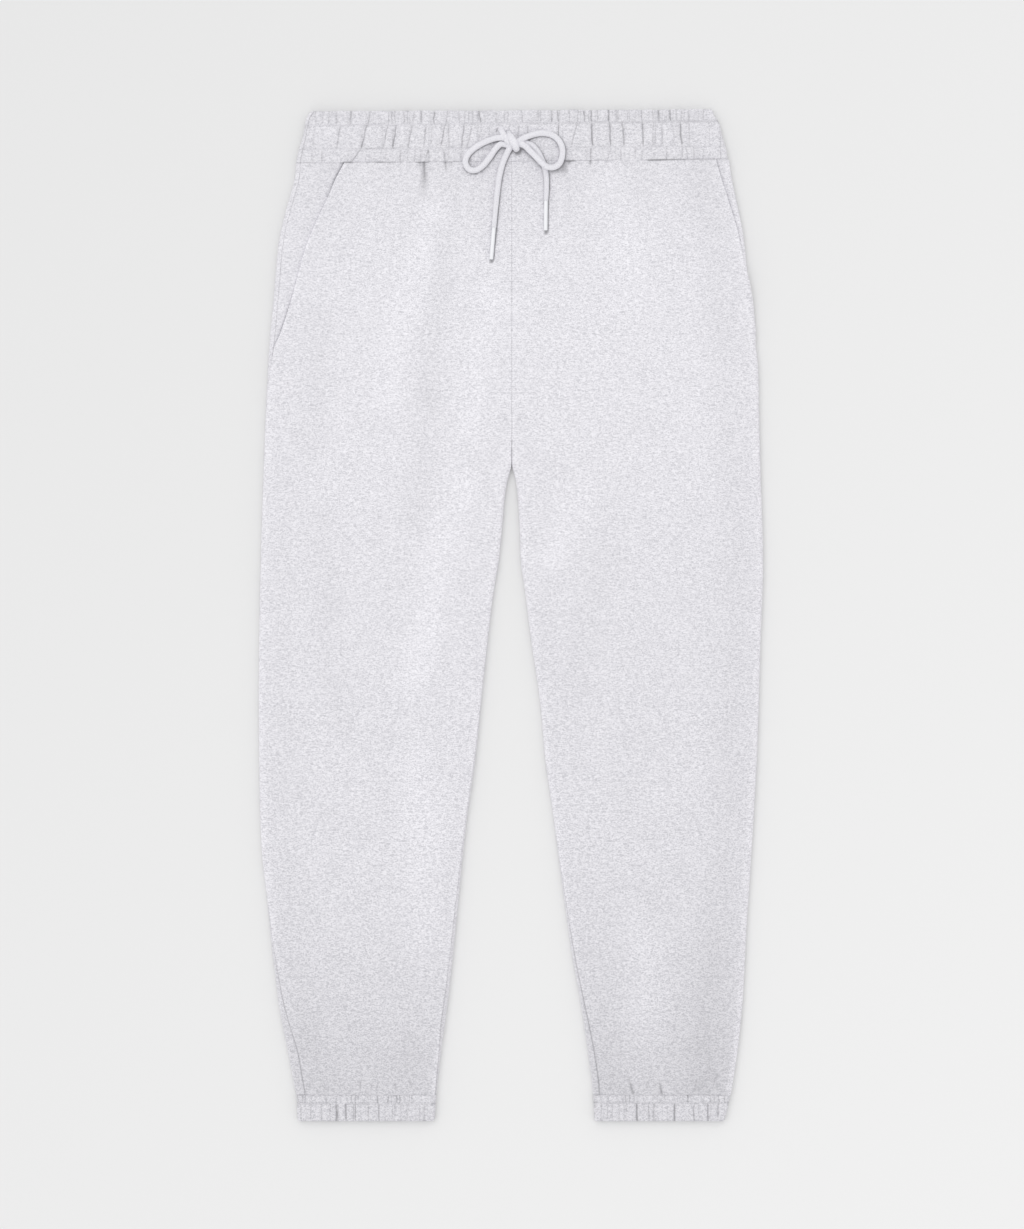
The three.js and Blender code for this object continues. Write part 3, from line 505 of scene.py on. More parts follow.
CHANNEL_GATHERS = Table(
    GATHER_COLUMNS,
    (-196.4, -197.4, 0.5),
    (-170.4, -174.6, 0.9),
    (-144.0, -150.0, 1.3),
    (-123.0, -128.3, 0.9),
    (-114.3, -118.5, 1.1),
    (-99.0, -103.0, 0.9),
    (-85.0, -87.5, 0.9),
    (-79.0, -80.5, 0.5),
    (-65.4, -71.0, 1.1),
    (-46.5, -49.6, 1.3),
    (-38.0, -44.0, 0.7),
    (-29.3, -32.0, 0.6),
    (47.9, 46.9, 1.3),
    (66.0, 60.0, 0.9),
    (80.5, 81.4, 1.3),
    (98.0, 99.8, 1.3),
    (111.4, 112.7, 1.2),
    (131.6, 132.5, 1.3),
    (144.0, 144.5, 0.7),
    (149.7, 151.8, 0.6),
    (161.0, 164.0, 0.6),
    (169.0, 170.8, 1.3),
    (198.0, 198.4, 0.5),
)
SEAM_GATHERS = Table(
    GATHER_COLUMNS,
    (-150.0, -160.5, 1.0),
    (-90.0, -91.0, 0.6),
    (-82.0, -86.6, 0.9),
    (-67.5, -65.4, 0.9),
    (-55.0, -57.0, 0.5),
    (-49.3, -50.0, 0.5),
    (53.5, 52.0, 1.0),
    (80.0, 79.4, 1.0),
    (100.0, 96.0, 0.7),
    (113.5, 113.0, 0.5),
    (171.6, 171.0, 0.6),
)
CUFF_GATHERS = {
    "right": Table(
        GATHER_COLUMNS,
        (-200, -200.5, 0.7),
        (-189.4, -189, 0.7),
        (-181, -180.5, 0.7),
        (-174.9, -174.3, 1.4),
        (-165.2, -164.8, 1.4),
        (-156, -155.4, 1.0),
        (-143.5, -142.4, 0.8),
        (-132.4, -132, 1.0),
        (-118, -118.4, 0.5),
        (-104, -103.6, 0.6),
        (-91, -91.2, 0.5),
    ),
    "left": Table(
        GATHER_COLUMNS,
        (90, 90.4, 0.6),
        (101, 101.4, 0.6),
        (115, 115.2, 0.6),
        (125.2, 125.8, 1.4),
        (138, 137.6, 0.8),
        (143, 142.4, 0.8),
        (163, 163.2, 1.4),
        (182.6, 183, 1.0),
        (196.4, 196.8, 1.4),
        (207, 206.4, 0.6),
    ),
}
CUFF_ENDS = {
    "right": {"seam": (-214.6, -74.6), "hem": (-213.6, -76.2), "stitch": 0.32},
    "left": {"seam": (82.0, 219.6), "hem": (83.0, 213.6), "stitch": 0.29},
}

SEAM_GAP = 0.06
SEAM_ROUND = 0.3
FLUSH = 0.9
LIFT = 2.8
MOUTH_LAP = 17
LIFT_BLEND = 34
FACING_TAIL = 9
LIFT_TAIL = 26
BAND_FOLD = 9.0
CENTRE_SEAM_X = 0.8
CROTCH_Y = 149
ROLL_START_Y = 178
SWELL_REACH = 32
CENTRE_REACH = 14
WAIST_Y = 453.6
ANKLE_Y = -479.98
CUFF_Y = (-480.0, -506.0)

LEGS = {
    "right": {
        "side": -1,
        "outer": RIGHT_OUTER,
        "inner": RIGHT_INNER,
        "mouth": RIGHT_MOUTH,
        "folds": RIGHT_FOLDS,
        "creases": RIGHT_CREASES,
        "gathered": (-96, -4),
        "edge_shade": 0.03,
        "lower_shade": 0.01,
    },
    "left": {
        "side": 1,
        "outer": LEFT_OUTER,
        "inner": LEFT_INNER,
        "mouth": LEFT_MOUTH,
        "folds": LEFT_FOLDS,
        "creases": LEFT_CREASES,
        "gathered": (26, 102),
        "edge_shade": 0.07,
        "lower_shade": 0.04,
    },
}


# Shapes of the cloth


def fade(distance, reach):
    """1 at a distance of 0, easing to 0 at the reach."""
    return 0.5 * (1 + np.cos(np.pi * np.clip(distance / reach, 0, 1)))


def soft_noise(x, y, size, seed):
    """Smooth noise from -1 to 1 with bumps about size across, the same on every run."""
    grid = np.random.default_rng(seed).uniform(-1, 1, (97, 97))
    u, v = np.broadcast_arrays(x / size + 311.3, y / size + 317.7)
    i, j = np.floor(u).astype(int), np.floor(v).astype(int)
    s, t = u - i, v - j
    s, t = s**3 * (s * (6 * s - 15) + 10), t**3 * (t * (6 * t - 15) + 10)
    near = grid[i % 97, j % 97] * (1 - s) + grid[(i + 1) % 97, j % 97] * s
    far = grid[i % 97, (j + 1) % 97] * (1 - s) + grid[(i + 1) % 97, (j + 1) % 97] * s
    return near * (1 - t) + far * t


def share_along(row, x, y):
    """How far along a row's line a point lies, from 0 to 1, and how far from the line."""
    dx, dy = row["x2"] - row["x1"], row["y2"] - row["y1"]
    share = ((x - row["x1"]) * dx + (y - row["y1"]) * dy) / (dx * dx + dy * dy)
    t = np.clip(share, 0, 1)
    return t, np.hypot(x - row["x1"] - t * dx, y - row["y1"] - t * dy)


def fold_relief(folds, x, y):
    """Height that soft folds add, a little uneven in their course and depth."""
    bent_x = x + 5 * soft_noise(x, y, 60, 1)
    uneven = 1 + 0.35 * soft_noise(x, y, 45, 2)
    total = np.zeros(np.broadcast(x, y).shape)
    for row in folds.rows():
        distance = share_along(row, bent_x, y)[1]
        total += row["height"] * uneven * fade(distance, row["half"] * 1.7)
    return total


def crease_dip(creases, x, y):
    """Depth of short sharp creases, deepest at their first end, and the shade painted along each."""
    dip, painted_shade = np.zeros(np.broadcast(x, y).shape), np.zeros(np.broadcast(x, y).shape)
    for row in creases.rows():
        t, distance = share_along(row, x, y)
        dip += row["depth"] * fade(t, 1.15) / np.cosh(distance / row["half"])
        painted_shade += row["depth"] * fade(t, 1.1) * np.exp(-((distance / row["half"] / 0.9) ** 2))
    return dip, painted_shade


def thin_line(distance, half=0.8):
    """1 along a line and nothing a little way from it."""
    return np.exp(-((distance / half) ** 2))


def seam_shade(distance, x, y):
    """Shade painted in the join of a seam: a thin line, uneven along its length."""
    deeper = 1 + np.clip((-280 - y) / 60, 0, 1)
    return (0.14 + 0.1 * soft_noise(x, y, 28, 5)) * deeper * thin_line(distance)


def fine_gathers(start, stop, pitch, seed):
    """A table of slight gathers about a pitch apart, each at its own place and strength."""
    picks = np.random.default_rng(seed)
    count = int((stop - start) / pitch)
    tops = start + (np.arange(count) + picks.uniform(-0.45, 0.45, count)) * pitch
    bottoms = tops + picks.normal(0, 0.5, count)
    return Table(GATHER_COLUMNS, *zip(tops, bottoms, 0.15 + picks.uniform(0, 0.85, count) ** 2))


def rounded(distance, radius):
    """How deep a rounded edge lies at a distance from its end."""
    t = 1 - np.clip(distance / radius, 0, 1)
    return (radius - 0.05) * (1 - np.sqrt(1 - np.minimum(t, 0.9999) ** 2))


class RolledEnd:
    """One rolled end of a flattened tube: its outermost line, the way in, and its height."""

    def __init__(self, x, inward, height):
        self.x, self.inward, self.radius = x, inward, height / 2
        self.quarter = self.radius * math.pi / 2

    def flat_x(self, past):
        return self.x + self.inward * (self.radius + past - self.quarter)

    def arc(self, past, depth):
        angle = past / self.radius
        x = self.x + self.inward * (self.radius - (self.radius - depth) * np.cos(angle))
        return x, self.radius + (self.radius - depth) * np.sin(angle)


class FlatTube:
    """Sections of a flattened tube, one for each height, with a rolled end on either side."""

    def __init__(self, first, last, top):
        self.first, self.last, self.top = first, last, top
        start = first.x + first.inward * first.radius
        stop = last.x + last.inward * last.radius
        self.total = first.quarter + np.abs(stop - start) + last.quarter

    def place(self, past, depth, over):
        """x and z of the cloth a length past the first end's outermost line."""
        rest = self.total - past
        x = self.first.flat_x(past)
        z = self.top(x) - depth if over else depth + 0 * x
        sign = 1 if over else -1
        for end, length in ((self.first, past), (self.last, rest)):
            arc_x, arc_z = end.arc(sign * np.clip(length, -end.quarter, end.quarter), depth)
            beyond = length < -end.quarter
            flat = end.flat_x(np.abs(length))
            other_z = depth + 0 * flat if over else self.top(flat) - depth
            x = np.where(beyond, flat, np.where(length <= end.quarter, arc_x, x))
            z = np.where(beyond, other_z, np.where(length <= end.quarter, arc_z, z))
        return x, z


EDGE_STEPS = np.array([0, 0.1, 0.3, 0.6, 1.0, 1.6])


def spaced(start, stop, shares):
    """Places from start to stop, close together at both ends, with shares of the way between."""
    span = stop - start - 2 * EDGE_STEPS[-1]
    return np.concatenate(
        np.broadcast_arrays(*[
            column
            for column in [
                *(start + step for step in EDGE_STEPS[:-1]),
                *(start + EDGE_STEPS[-1] + span * share for share in shares),
                *(stop - step for step in EDGE_STEPS[-2::-1]),
            ]
        ]),
        axis=1,
    )


def shares_by_pitch(places, pitches, start, stop):
    """Shares from 0 to 1 whose spacing follows pitches given at places."""
    fine = np.linspace(start, stop, 2000)
    density = 1 / np.interp(fine, places, pitches)
    total = np.concatenate([[0], np.cumsum((density[1:] + density[:-1]) / 2 * np.diff(fine))])
    count = int(round(total[-1]))
    return (np.interp(np.linspace(0, total[-1], count + 1), total, fine) - start) / (stop - start)


def falling(top, bottom, count, fine=0):
    """Heights from top to bottom, with some more of them close under the top and over the end."""
    shares = [np.linspace(0, 0.12, 2 * fine), np.linspace(0, 1, count), np.linspace(0.95, 1, fine)]
    inner = top - EDGE_STEPS[-1] - (top - bottom - 2 * EDGE_STEPS[-1]) * np.unique(
        np.round(np.concatenate(shares), 4)
    )
    return np.concatenate([top - EDGE_STEPS[:-1], inner, bottom + EDGE_STEPS[-2::-1]])[:, None]


class LegSections(FlatTube):
    """Sections of one half of the trousers at a column of heights."""

    def __init__(self, leg, y, strength):
        side = leg["side"]
        fold = FRONT_LEVEL.at("fold", y)
        level = FRONT_LEVEL.at("level", y)
        height = CENTRE_HEIGHT.at("height", y)
        centre = CENTRE_SEAM_X + side * SEAM_GAP / 2
        above = y > CROTCH_Y
        roll = np.clip((ROLL_START_Y - y) / (ROLL_START_Y - CROTCH_Y), 0, 1) * math.pi / 2
        centre_x = centre - side * height / 2 * (1 - np.sin(roll))
        to_seam = np.maximum(height / 2 * (math.pi / 2 - roll), SEAM_GAP / 2)
        inseam = leg["inner"].at("seam", y)
        outer = RolledEnd(leg["outer"].at("x", y), -side, fold)
        inner = RolledEnd(np.where(above, centre_x, leg["inner"].at("x", y)), side, height)
        reach = np.where(above, CENTRE_REACH, SWELL_REACH)
        self.leg, self.heights, self.strength = leg, y, strength
        self.side_seam = leg["outer"].at("seam", y)
        self.inner_front = np.where(above, to_seam, inseam + SEAM_GAP / 2)
        self.inner_back = np.where(above, -to_seam, inseam - SEAM_GAP / 2)
        self.slope = 1 - np.clip((WAIST_Y - y) / 60, 0, 1)

        def top(x):
            from_outer = np.abs(x - outer.x) - outer.radius
            from_inner = np.abs(x - inner.x) - inner.radius
            soft = level + strength * self.relief(x)
            swollen = soft + (fold - soft) * fade(np.maximum(from_outer, 0), SWELL_REACH)
            ends = fade(np.maximum(from_inner, 0), reach)
            flush = (1 - WAIST_SHADE.at("dark", x)) * fade(WAIST_Y - y, 7) + fade(y - ANKLE_Y, 5)
            swollen = swollen + FLUSH * strength * flush
            return swollen + (height - swollen) * ends - crease_dip(leg["creases"], x, y)[0]

        super().__init__(outer, inner, top)

    def relief(self, x):
        y = self.heights
        broad = 0.22 * soft_noise(x, y, 52, 11) + 0.1 * soft_noise(x, y, 19, 12)
        return fold_relief(self.leg["folds"], x, y) + broad

    def shade(self, x):
        """How much shade is painted on the cloth: low down, near the sides and in the troughs, and none at the
        rolled ends.
        """
        y = self.heights
        from_side = np.abs(x - self.first.x)
        side = self.leg["edge_shade"] * fade(np.abs(from_side - 26), 34)
        rolled = np.clip(np.minimum(from_side, np.abs(x - self.last.x)) / 7, 0, 1)
        relief = fold_relief(self.leg["folds"], x, y)
        lower = self.leg["lower_shade"] * np.clip((250 - y) / 300, 0, 1)
        return np.maximum(LEG_SHADE.at("shade", y) + side + lower - 0.075 * relief, 0) * rolled

    def y(self, x):
        """Height of each point: the top row follows the waistband's slanting seam."""
        share = np.clip((x + 216) / 433, 0, 1)
        return self.heights + self.slope * 4.0 * (share - 0.5)

    def grid(self, past, depth, over):
        x, z = self.place(past, depth, over)
        return np.stack([x, self.y(x), z], -1) * MM


def front_start(leg, section):
    """How far past the outermost line a front begins: at its pocket's mouth, or the seam."""
    mouth = leg["mouth"]
    foot = mouth.values["y"][-1]
    seam = section.side_seam + SEAM_GAP / 2
    return np.where(
        section.heights >= foot, np.maximum(mouth.at("past", section.heights), seam), seam
    )


def shell(name, outer, inner, across, painted_shade, ring=False):
    """A closed sheet of cloth from a grid of points on its outer face and one on its inner.

    Across holds each column's length across the flat cloth; the last grid holds how much shade
    is painted on each outer point, from 0 to 1, in the attribute named crease.
    """
    rows, columns = outer.shape[:2]
    spare = 1 if ring else 0
    wide = columns + spare
    k, j = (a.ravel() for a in np.mgrid[0 : rows - 1, 0 : wide - 1])
    edge_k, edge_j = np.arange(rows - 1), np.arange(wide - 1)
    zero_j, zero_k = np.zeros_like(edge_k), np.zeros_like(edge_j)
    last_j, last_k = zero_j + wide - 1, zero_k + rows - 1

    def quads(*corners):
        return np.stack([[face * rows * columns + r * columns + c % columns, r * wide + c]
                         for face, r, c in corners], 0).transpose(2, 0, 1)

    parts = [
        quads((0, k, j), (0, k, j + 1), (0, k + 1, j + 1), (0, k + 1, j)),
        quads((1, k, j), (1, k + 1, j), (1, k + 1, j + 1), (1, k, j + 1)),
        quads((0, zero_k, edge_j), (1, zero_k, edge_j), (1, zero_k, edge_j + 1),
              (0, zero_k, edge_j + 1)),
        quads((0, last_k, edge_j + 1), (1, last_k, edge_j + 1), (1, last_k, edge_j),
              (0, last_k, edge_j)),
    ]
    if not ring:
        parts += [
            quads((0, edge_k, zero_j), (0, edge_k + 1, zero_j), (1, edge_k + 1, zero_j),
                  (1, edge_k, zero_j)),
            quads((0, edge_k + 1, last_j), (0, edge_k, last_j), (1, edge_k, last_j),
                  (1, edge_k + 1, last_j)),
        ]
    corners = np.concatenate(parts)
    points = np.concatenate([outer.reshape(-1, 3), inner.reshape(-1, 3)])
    a, b, c = (points[corners[:, n, 0]] for n in (0, 1, 2))
    a2, c2, d = (points[corners[:, n, 0]] for n in (0, 2, 3))
    volume = np.einsum("ij,ij->", a, np.cross(b, c)) + np.einsum("ij,ij->", a2, np.cross(c2, d))
    if volume < 0:
        corners = corners[:, ::-1]
    lengthwise = np.repeat(outer[:, :1, 1], wide, 1)
    flat = np.stack([across * MM, lengthwise], -1).reshape(-1, 2)
    piece = mesh_piece(name, points, corners[:, :, 0], flat[corners[:, :, 1]])
    painted_shade_layer = piece.data.attributes.new("crease", "FLOAT", "POINT")
    shade_values = np.clip(np.broadcast_to(painted_shade, (rows, columns)), 0, 1).ravel()
    painted_shade_layer.data.foreach_set("value", np.concatenate([shade_values, 0 * shade_values]).astype(np.float32))
    return piece


def mesh_piece(name, points, faces, flat=None):
    """A smooth mesh object at the origin, with the cloth's own UV map in metres."""
    mesh = bpy.data.meshes.new(name)
    mesh.from_pydata(points.tolist(), [], [tuple(face) for face in faces])
    if flat is not None:
        mesh.uv_layers.new(name="cloth").data.foreach_set("uv", flat.reshape(-1))
    mesh.polygons.foreach_set("use_smooth", np.ones(len(mesh.polygons), bool))
    mesh.update()
    piece = bpy.data.objects.new(name, mesh)
    bpy.context.collection.objects.link(piece)
    return piece


def dress(piece, slot, material, *nodes):
    """Sets a piece's material and puts it in the place of its CAD nodes; its slot is not used."""
    piece.data.materials.append(material)
    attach(piece, "root")
    if nodes:
        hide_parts(*nodes)
    return piece


def cut_size(widths, heights):
    """Width, length and area of the flat cut of cloth whose rows have these widths."""
    length = abs(heights[0, 0] - heights[-1, 0])
    steps = np.abs(np.diff(heights[:, 0]))
    area = float(np.sum(steps * (widths[1:, 0] + widths[:-1, 0]) / 2))
    return (float(widths.max()) * MM, float(length) * MM), area * MM * MM


# Materials


class Value:
    """A socket that takes part in Python expressions, each step of which is a Math node."""

    def __init__(self, shader, socket):
        self.shader, self.socket = shader, socket

    def math(self, operation, *others):
        sockets = dict(enumerate([self, *others]))
        return self.shader.node("ShaderNodeMath", {"operation": operation}, sockets)[0]

    def __add__(self, other):
        return self.math("ADD", other)

    def __sub__(self, other):
        return self.math("SUBTRACT", other)

    def __rsub__(self, other):
        return (self * -1) + other

    def __mul__(self, other):
        return self.math("MULTIPLY", other)

    __radd__ = __add__
    __rmul__ = __mul__


class Shader:
    """The node tree of one material."""

    def __init__(self, name):
        self.material = bpy.data.materials.new(name)
        self.material.use_nodes = True
        self.tree = self.material.node_tree
        self.tree.nodes.clear()

    def node(self, kind, settings=None, sockets=None):
        """Adds a node: its settings first, then its sockets. Gives its outputs in order."""
        node = self.tree.nodes.new(kind)
        for key, setting in (settings or {}).items():
            setattr(node, key, setting)
        for key, value in (sockets or {}).items():
            if isinstance(value, Value):
                self.tree.links.new(value.socket, node.inputs[key])
            else:
                node.inputs[key].default_value = value
        return [Value(self, socket) for socket in node.outputs]

    def scaled(self, vector, factors):
        return self.node("ShaderNodeVectorMath", {"operation": "MULTIPLY"}, {0: vector, 1: factors})[0]

    def noise(self, vector, scale, detail=2.0, distortion=0.0):
        sockets = {"Vector": vector, "Scale": scale, "Detail": detail, "Distortion": distortion}
        return self.node("ShaderNodeTexNoise", None, sockets)[0]

    def mix(self, factor, a, b):
        settings = {"data_type": "RGBA"}
        return self.node("ShaderNodeMix", settings, {0: factor, 6: rgba(a), 7: rgba(b)})[2]

    def bump(self, height, distance, strength=1.0):
        sockets = {"Height": height, "Distance": distance, "Strength": strength}
        return self.node("ShaderNodeBump", None, sockets)[0]

    def finish(self, sockets):
        surface = self.node("ShaderNodeBsdfPrincipled", None, sockets)[0]
        self.node("ShaderNodeOutputMaterial", None, {"Surface": surface})
        return self.material


def rgba(color):
    return color if isinstance(color, Value) else (*color[:3], 1.0)


def knit_height(shader, across, along):
    """Height of jersey loops: V-shaped stitches in columns."""
    column = (across * (1 / 1.3)).math("FRACT")
    slant = (column - 0.5).math("ABSOLUTE")
    loop = ((along * (1 / 1.1) + slant) * (2 * math.pi)).math("COSINE")
    rib = (across * (2 * math.pi / 1.3)).math("COSINE")
    return loop * 0.35 - rib * 0.3


def heather_material(name, light, dark, contrast, shade=1.0):
    """Brushed heather fleece: two yarns in short streaks, a soft nap, faint knit loops and painted shade."""
    shader = Shader(name)
    flat = shader.node("ShaderNodeUVMap", {"uv_map": "cloth"})[0]
    place = shader.scaled(flat, (1000, 1000, 0))
    across, along, _ = shader.node("ShaderNodeSeparateXYZ", None, {"Vector": place})
    streaks = shader.noise(shader.scaled(place, (0.33, 0.56, 1)), 1.0, 3.0, 1.1)
    flecks = shader.noise(shader.scaled(place, (0.86, 1.0, 1)), 1.0, 2.0, 0.4)
    clouds = shader.noise(place, 0.035, 2.0)
    coarser = (along * (-1 / 1100) - 0.02).math("MAXIMUM", 0.0) + 1
    tone = (streaks - 0.5) * (2.6 * contrast) + (flecks - 0.5) * (2.1 * contrast)
    tone = tone * coarser + (clouds - 0.5) * 0.2 + 0.56
    # A shade below 1 makes a darker copy of the fleece, as painted shade
    light, dark = [tuple(shade * c for c in color) for color in (light, dark)]
    # Painted shade: the crease attribute darkens the heather towards a deep tone
    painted_shade_layer = shader.node("ShaderNodeAttribute", {"attribute_name": "crease"})[2]
    color = shader.mix(tone, dark, light)
    color = shader.mix(painted_shade_layer * 0.8, color, tuple(0.42 * c for c in dark))
    nap = shader.noise(shader.scaled(place, (0.5, 0.75, 1)), 1.0, 3.0, 0.8)
    height = nap * 0.8 + flecks * 0.5 + knit_height(shader, across, along) * 0.12
    return shader.finish({
        "Base Color": color,
        "Roughness": flecks * 0.12 + 0.84,
        "Normal": shader.bump(height, 0.45 * MM, 0.55),
        "Sheen Weight": 0.25,
        "Sheen Roughness": 0.55,
        "Specular IOR Level": 0.25,
    })


def thread_material(name, color):
    """Twisted sewing thread."""
    shader = Shader(name)
    place = shader.scaled(shader.node("ShaderNodeTexCoord")[3], (1000, 1000, 1000))
    twist = shader.noise(shader.scaled(place, (3.5, 3.5, 1)), 1.0, 1.0)
    darker = tuple(0.82 * c for c in color)
    return shader.finish({
        "Base Color": shader.mix(twist, darker, color),
        "Roughness": twist * 0.2 + 0.55,
        "Normal": shader.bump(twist, 0.1 * MM, 0.5),
        "Sheen Weight": 0.15,
    })


def cord_material(name, color):
    """Round braid of heather cotton: two sets of strands that cross on the slant."""
    shader = Shader(name)
    flat = shader.node("ShaderNodeUVMap", {"uv_map": "cloth"})[0]
    place = shader.scaled(flat, (1000, 1000, 0))
    around, along, _ = shader.node("ShaderNodeSeparateXYZ", None, {"Vector": place})
    one = ((around * 0.68 + along * 0.5) * (2 * math.pi)).math("SINE")
    two = ((around * 0.68 - along * 0.5) * (2 * math.pi)).math("SINE")
    braid = one.math("MAXIMUM", two)
    fuzz = shader.noise(shader.scaled(place, (1.2, 0.8, 1)), 1.0, 3.0, 0.5)
    tone = (fuzz - 0.5) * 2.4 + braid * 0.22 + 0.45
    darker = tuple(0.82 * c for c in color)
    lighter = tuple(min(1.04 * c, 0.93) for c in color)
    return shader.finish({
        "Base Color": shader.mix(tone, darker, lighter),
        "Roughness": fuzz * 0.2 + 0.75,
        "Normal": shader.bump(braid * 0.6 + fuzz, 0.35 * MM, 0.6),
        "Sheen Weight": 0.3,
        "Sheen Roughness": 0.5,
    })


def tip_material(name, color):
    """Cord end dipped in clear-set plastic: smooth, with the braid faint beneath."""
    shader = Shader(name)
    place = shader.scaled(shader.node("ShaderNodeTexCoord")[3], (1000, 1000, 1000))
    wave = shader.noise(shader.scaled(place, (0.9, 0.35, 0.9)), 1.0, 2.0)
    darker = tuple(0.9 * c for c in color)
    return shader.finish({
        "Base Color": shader.mix(wave, darker, color),
        "Roughness": wave * 0.12 + 0.28,
        "Normal": shader.bump(wave, 0.3 * MM, 0.35),
        "Coat Weight": 0.35,
    })


def floor_material(name, color):
    """Plain matt paper with the faintest tooth, and painted light: paler towards the lower right."""
    shader = Shader(name)
    place = shader.node("ShaderNodeTexCoord")[3]
    tooth = shader.noise(place, 600, 2.0)
    across, along, _ = shader.node("ShaderNodeSeparateXYZ", None, {"Vector": place})
    # Painted light: the paper is paler towards the lower right and darker towards the upper left
    spread = across * 0.34 - along * 0.30 + tooth * 0.1 + 0.45
    darker, paler = [tuple(share * c for c in color) for share in (0.94, 1.06)]
    return shader.finish({
        "Base Color": shader.mix(spread, darker, paler),
        "Roughness": tooth * 0.1 + 0.85,
        "Specular IOR Level": 0.2,
    })


def cloth_material(settings, name, contrast, shade):
    """The heather of the panels or of the bands, made once for each."""
    found = bpy.data.materials.get(name)
    cloth = settings.cloth
    return found or heather_material(name, cloth.light_yarn, cloth.dark_yarn, contrast, shade)


def fleece(settings):
    return cloth_material(settings, "heather_fleece", 1.0, 1.0)


def banding(settings):
    # The bands' heather is the fleece's with more contrast and painted shade, 1.5 % darker
    return cloth_material(settings, "heather_band", 1.1, 0.985)


# Drawstring

CORD_ROUTES = {
    "right": (
        (-10.6, 486.2, 7.6), (-10.0, 484.8, 10.0), (-8.6, 482, 12.4), (-6.0, 477.6, 14.2),
        (-2.4, 472.4, 14.6), (2.5, 469.6, 14.4), (8.0, 470.6, 15.0), (13.0, 469.0, 15.8),
        (19.0, 463.4, 16.4), (25.4, 457.0, 16.6), (31.4, 450.8, 16.4), (36.6, 447.3, 15.6),
        (42.6, 447.2, 14.4), (47.9, 450.5, 13.2), (50.9, 457.4, 12.6), (51.2, 466.0, 12.4),
        (47.6, 474.2, 12.1), (40.6, 479.6, 12.1), (31.6, 481.3, 12.2), (23.4, 480.2, 12.6),
        (15.4, 477.4, 13.8), (8.6, 473.8, 15.4), (3.6, 471.2, 15.6), (-0.6, 467.2, 14.2),
        (-4.6, 460.1, 12.3), (-8.6, 450.8, 11.0), (-11.8, 438, 9.8), (-13.4, 426, 9.1),
        (-14.9, 411.6, 8.7), (-16.2, 398, 8.4), (-17, 387.4, 8.2),
    ),
    "left": (
        (-3.4, 482.4, 7.6), (-2.6, 480.8, 10.6), (-0.8, 477.8, 14.6), (1.6, 473.8, 17.7),
        (4.0, 469.4, 18.6), (5.2, 466.0, 17.8), (5.8, 464.5, 15.2), (5.0, 466.0, 12.7),
        (2.6, 467.6, 11.9), (-0.8, 468.7, 12.0), (-5.4, 469.8, 12.5), (-10.4, 470.2, 13.2), (-15.4, 465.8, 13.2),
        (-21.9, 456.4, 12.8), (-28.8, 448.4, 11.8), (-35.8, 444.4, 11.4), (-42.2, 445.8, 11.4),
        (-45.6, 452.4, 11.8), (-43.2, 459.8, 12.1), (-35.4, 467.2, 12.1), (-25.4, 472.8, 12.4),
        (-15.2, 476.2, 13.6), (-7.6, 476.4, 14.4), (0.4, 474.2, 13.2), (8, 472.4, 11.8),
        (15, 471.4, 11.6), (21.4, 468.8, 11.8), (26.2, 463.4, 11.7), (30.0, 456.6, 11.2),
        (33.2, 448.6, 10.5), (35.2, 438.6, 9.6), (35.5, 427.6, 9.0), (34.9, 414.2, 8.5),
    ),
}
TIPS = {
    "right": ((-17, 388.2, 8.2), (-19.8, 355.4, 8.0)),
    "left": ((34.9, 415.2, 8.5), (34.6, 384.4, 8.0)),
}
TIP_RIM = 0.9
TIP_TAPER = 6.0
CORD_PITCH = 1.4
CORD_SIDES = 16
CORD_FLATNESS = 0.68
STEEP = 0.5
CORD_REST = 12.6
# Strength of the shade painted on the cloth under the cords
CORD_SHADE = 1.5
KNOT = (4.6, 474.6, 17.2)
KNOT_SWELL = 0.4
TAIL_THIN = 0.8
TAIL_REACH = 60.0
# Soft shadows painted on the cloth by the bow's left loop: place, size and darkness
SHADOWS = Table(
    "y x wide tall dark",
    (461.6, 56.6, 2.6, 6.0, 0.14),
    (453.6, 58.2, 4.0, 1.0, 0.6),
    (447.0, 54.6, 1.9, 6.2, 0.5),
    (444.6, 47.6, 6.0, 2.6, 0.3),
    (436.0, 37.4, 1.0, 4.0, 0.35),
)


def modelled(primitive, **sizes):
    """A new primitive at the origin, alone selected and in edit mode."""
    bpy.ops.object.select_all(action="DESELECT")
    primitive(location=(0, 0, 0), **sizes)
    bpy.ops.object.mode_set(mode="EDIT")
    return bpy.context.object


def chosen(piece, wanted):
    """Selects, in edit mode, the corners of a piece that are wanted."""
    bpy.ops.object.mode_set(mode="OBJECT")
    for corner in piece.data.vertices:
        corner.select = wanted(corner.co)
    bpy.ops.object.mode_set(mode="EDIT")
    bpy.ops.mesh.select_mode(type="VERT")


def placed(piece, name):
    """Names a piece and puts its place and turn into its mesh."""
    piece.name = piece.data.name = name
    bpy.ops.object.transform_apply(location=True, rotation=True, scale=True)
    return piece


def cord_radii(route, lengths, radius):
    """Radius along a cord: thicker where it is drawn up in the knot, and thinner in its tail."""
    rest = lengths[-1] - lengths
    early = lengths < 0.2 * lengths[-1]
    swell = fade(np.linalg.norm(route - KNOT, axis=1), 12) * early
    return radius * (1 - (1 - TAIL_THIN) * fade(rest, TAIL_REACH)) * (1 + KNOT_SWELL * swell)


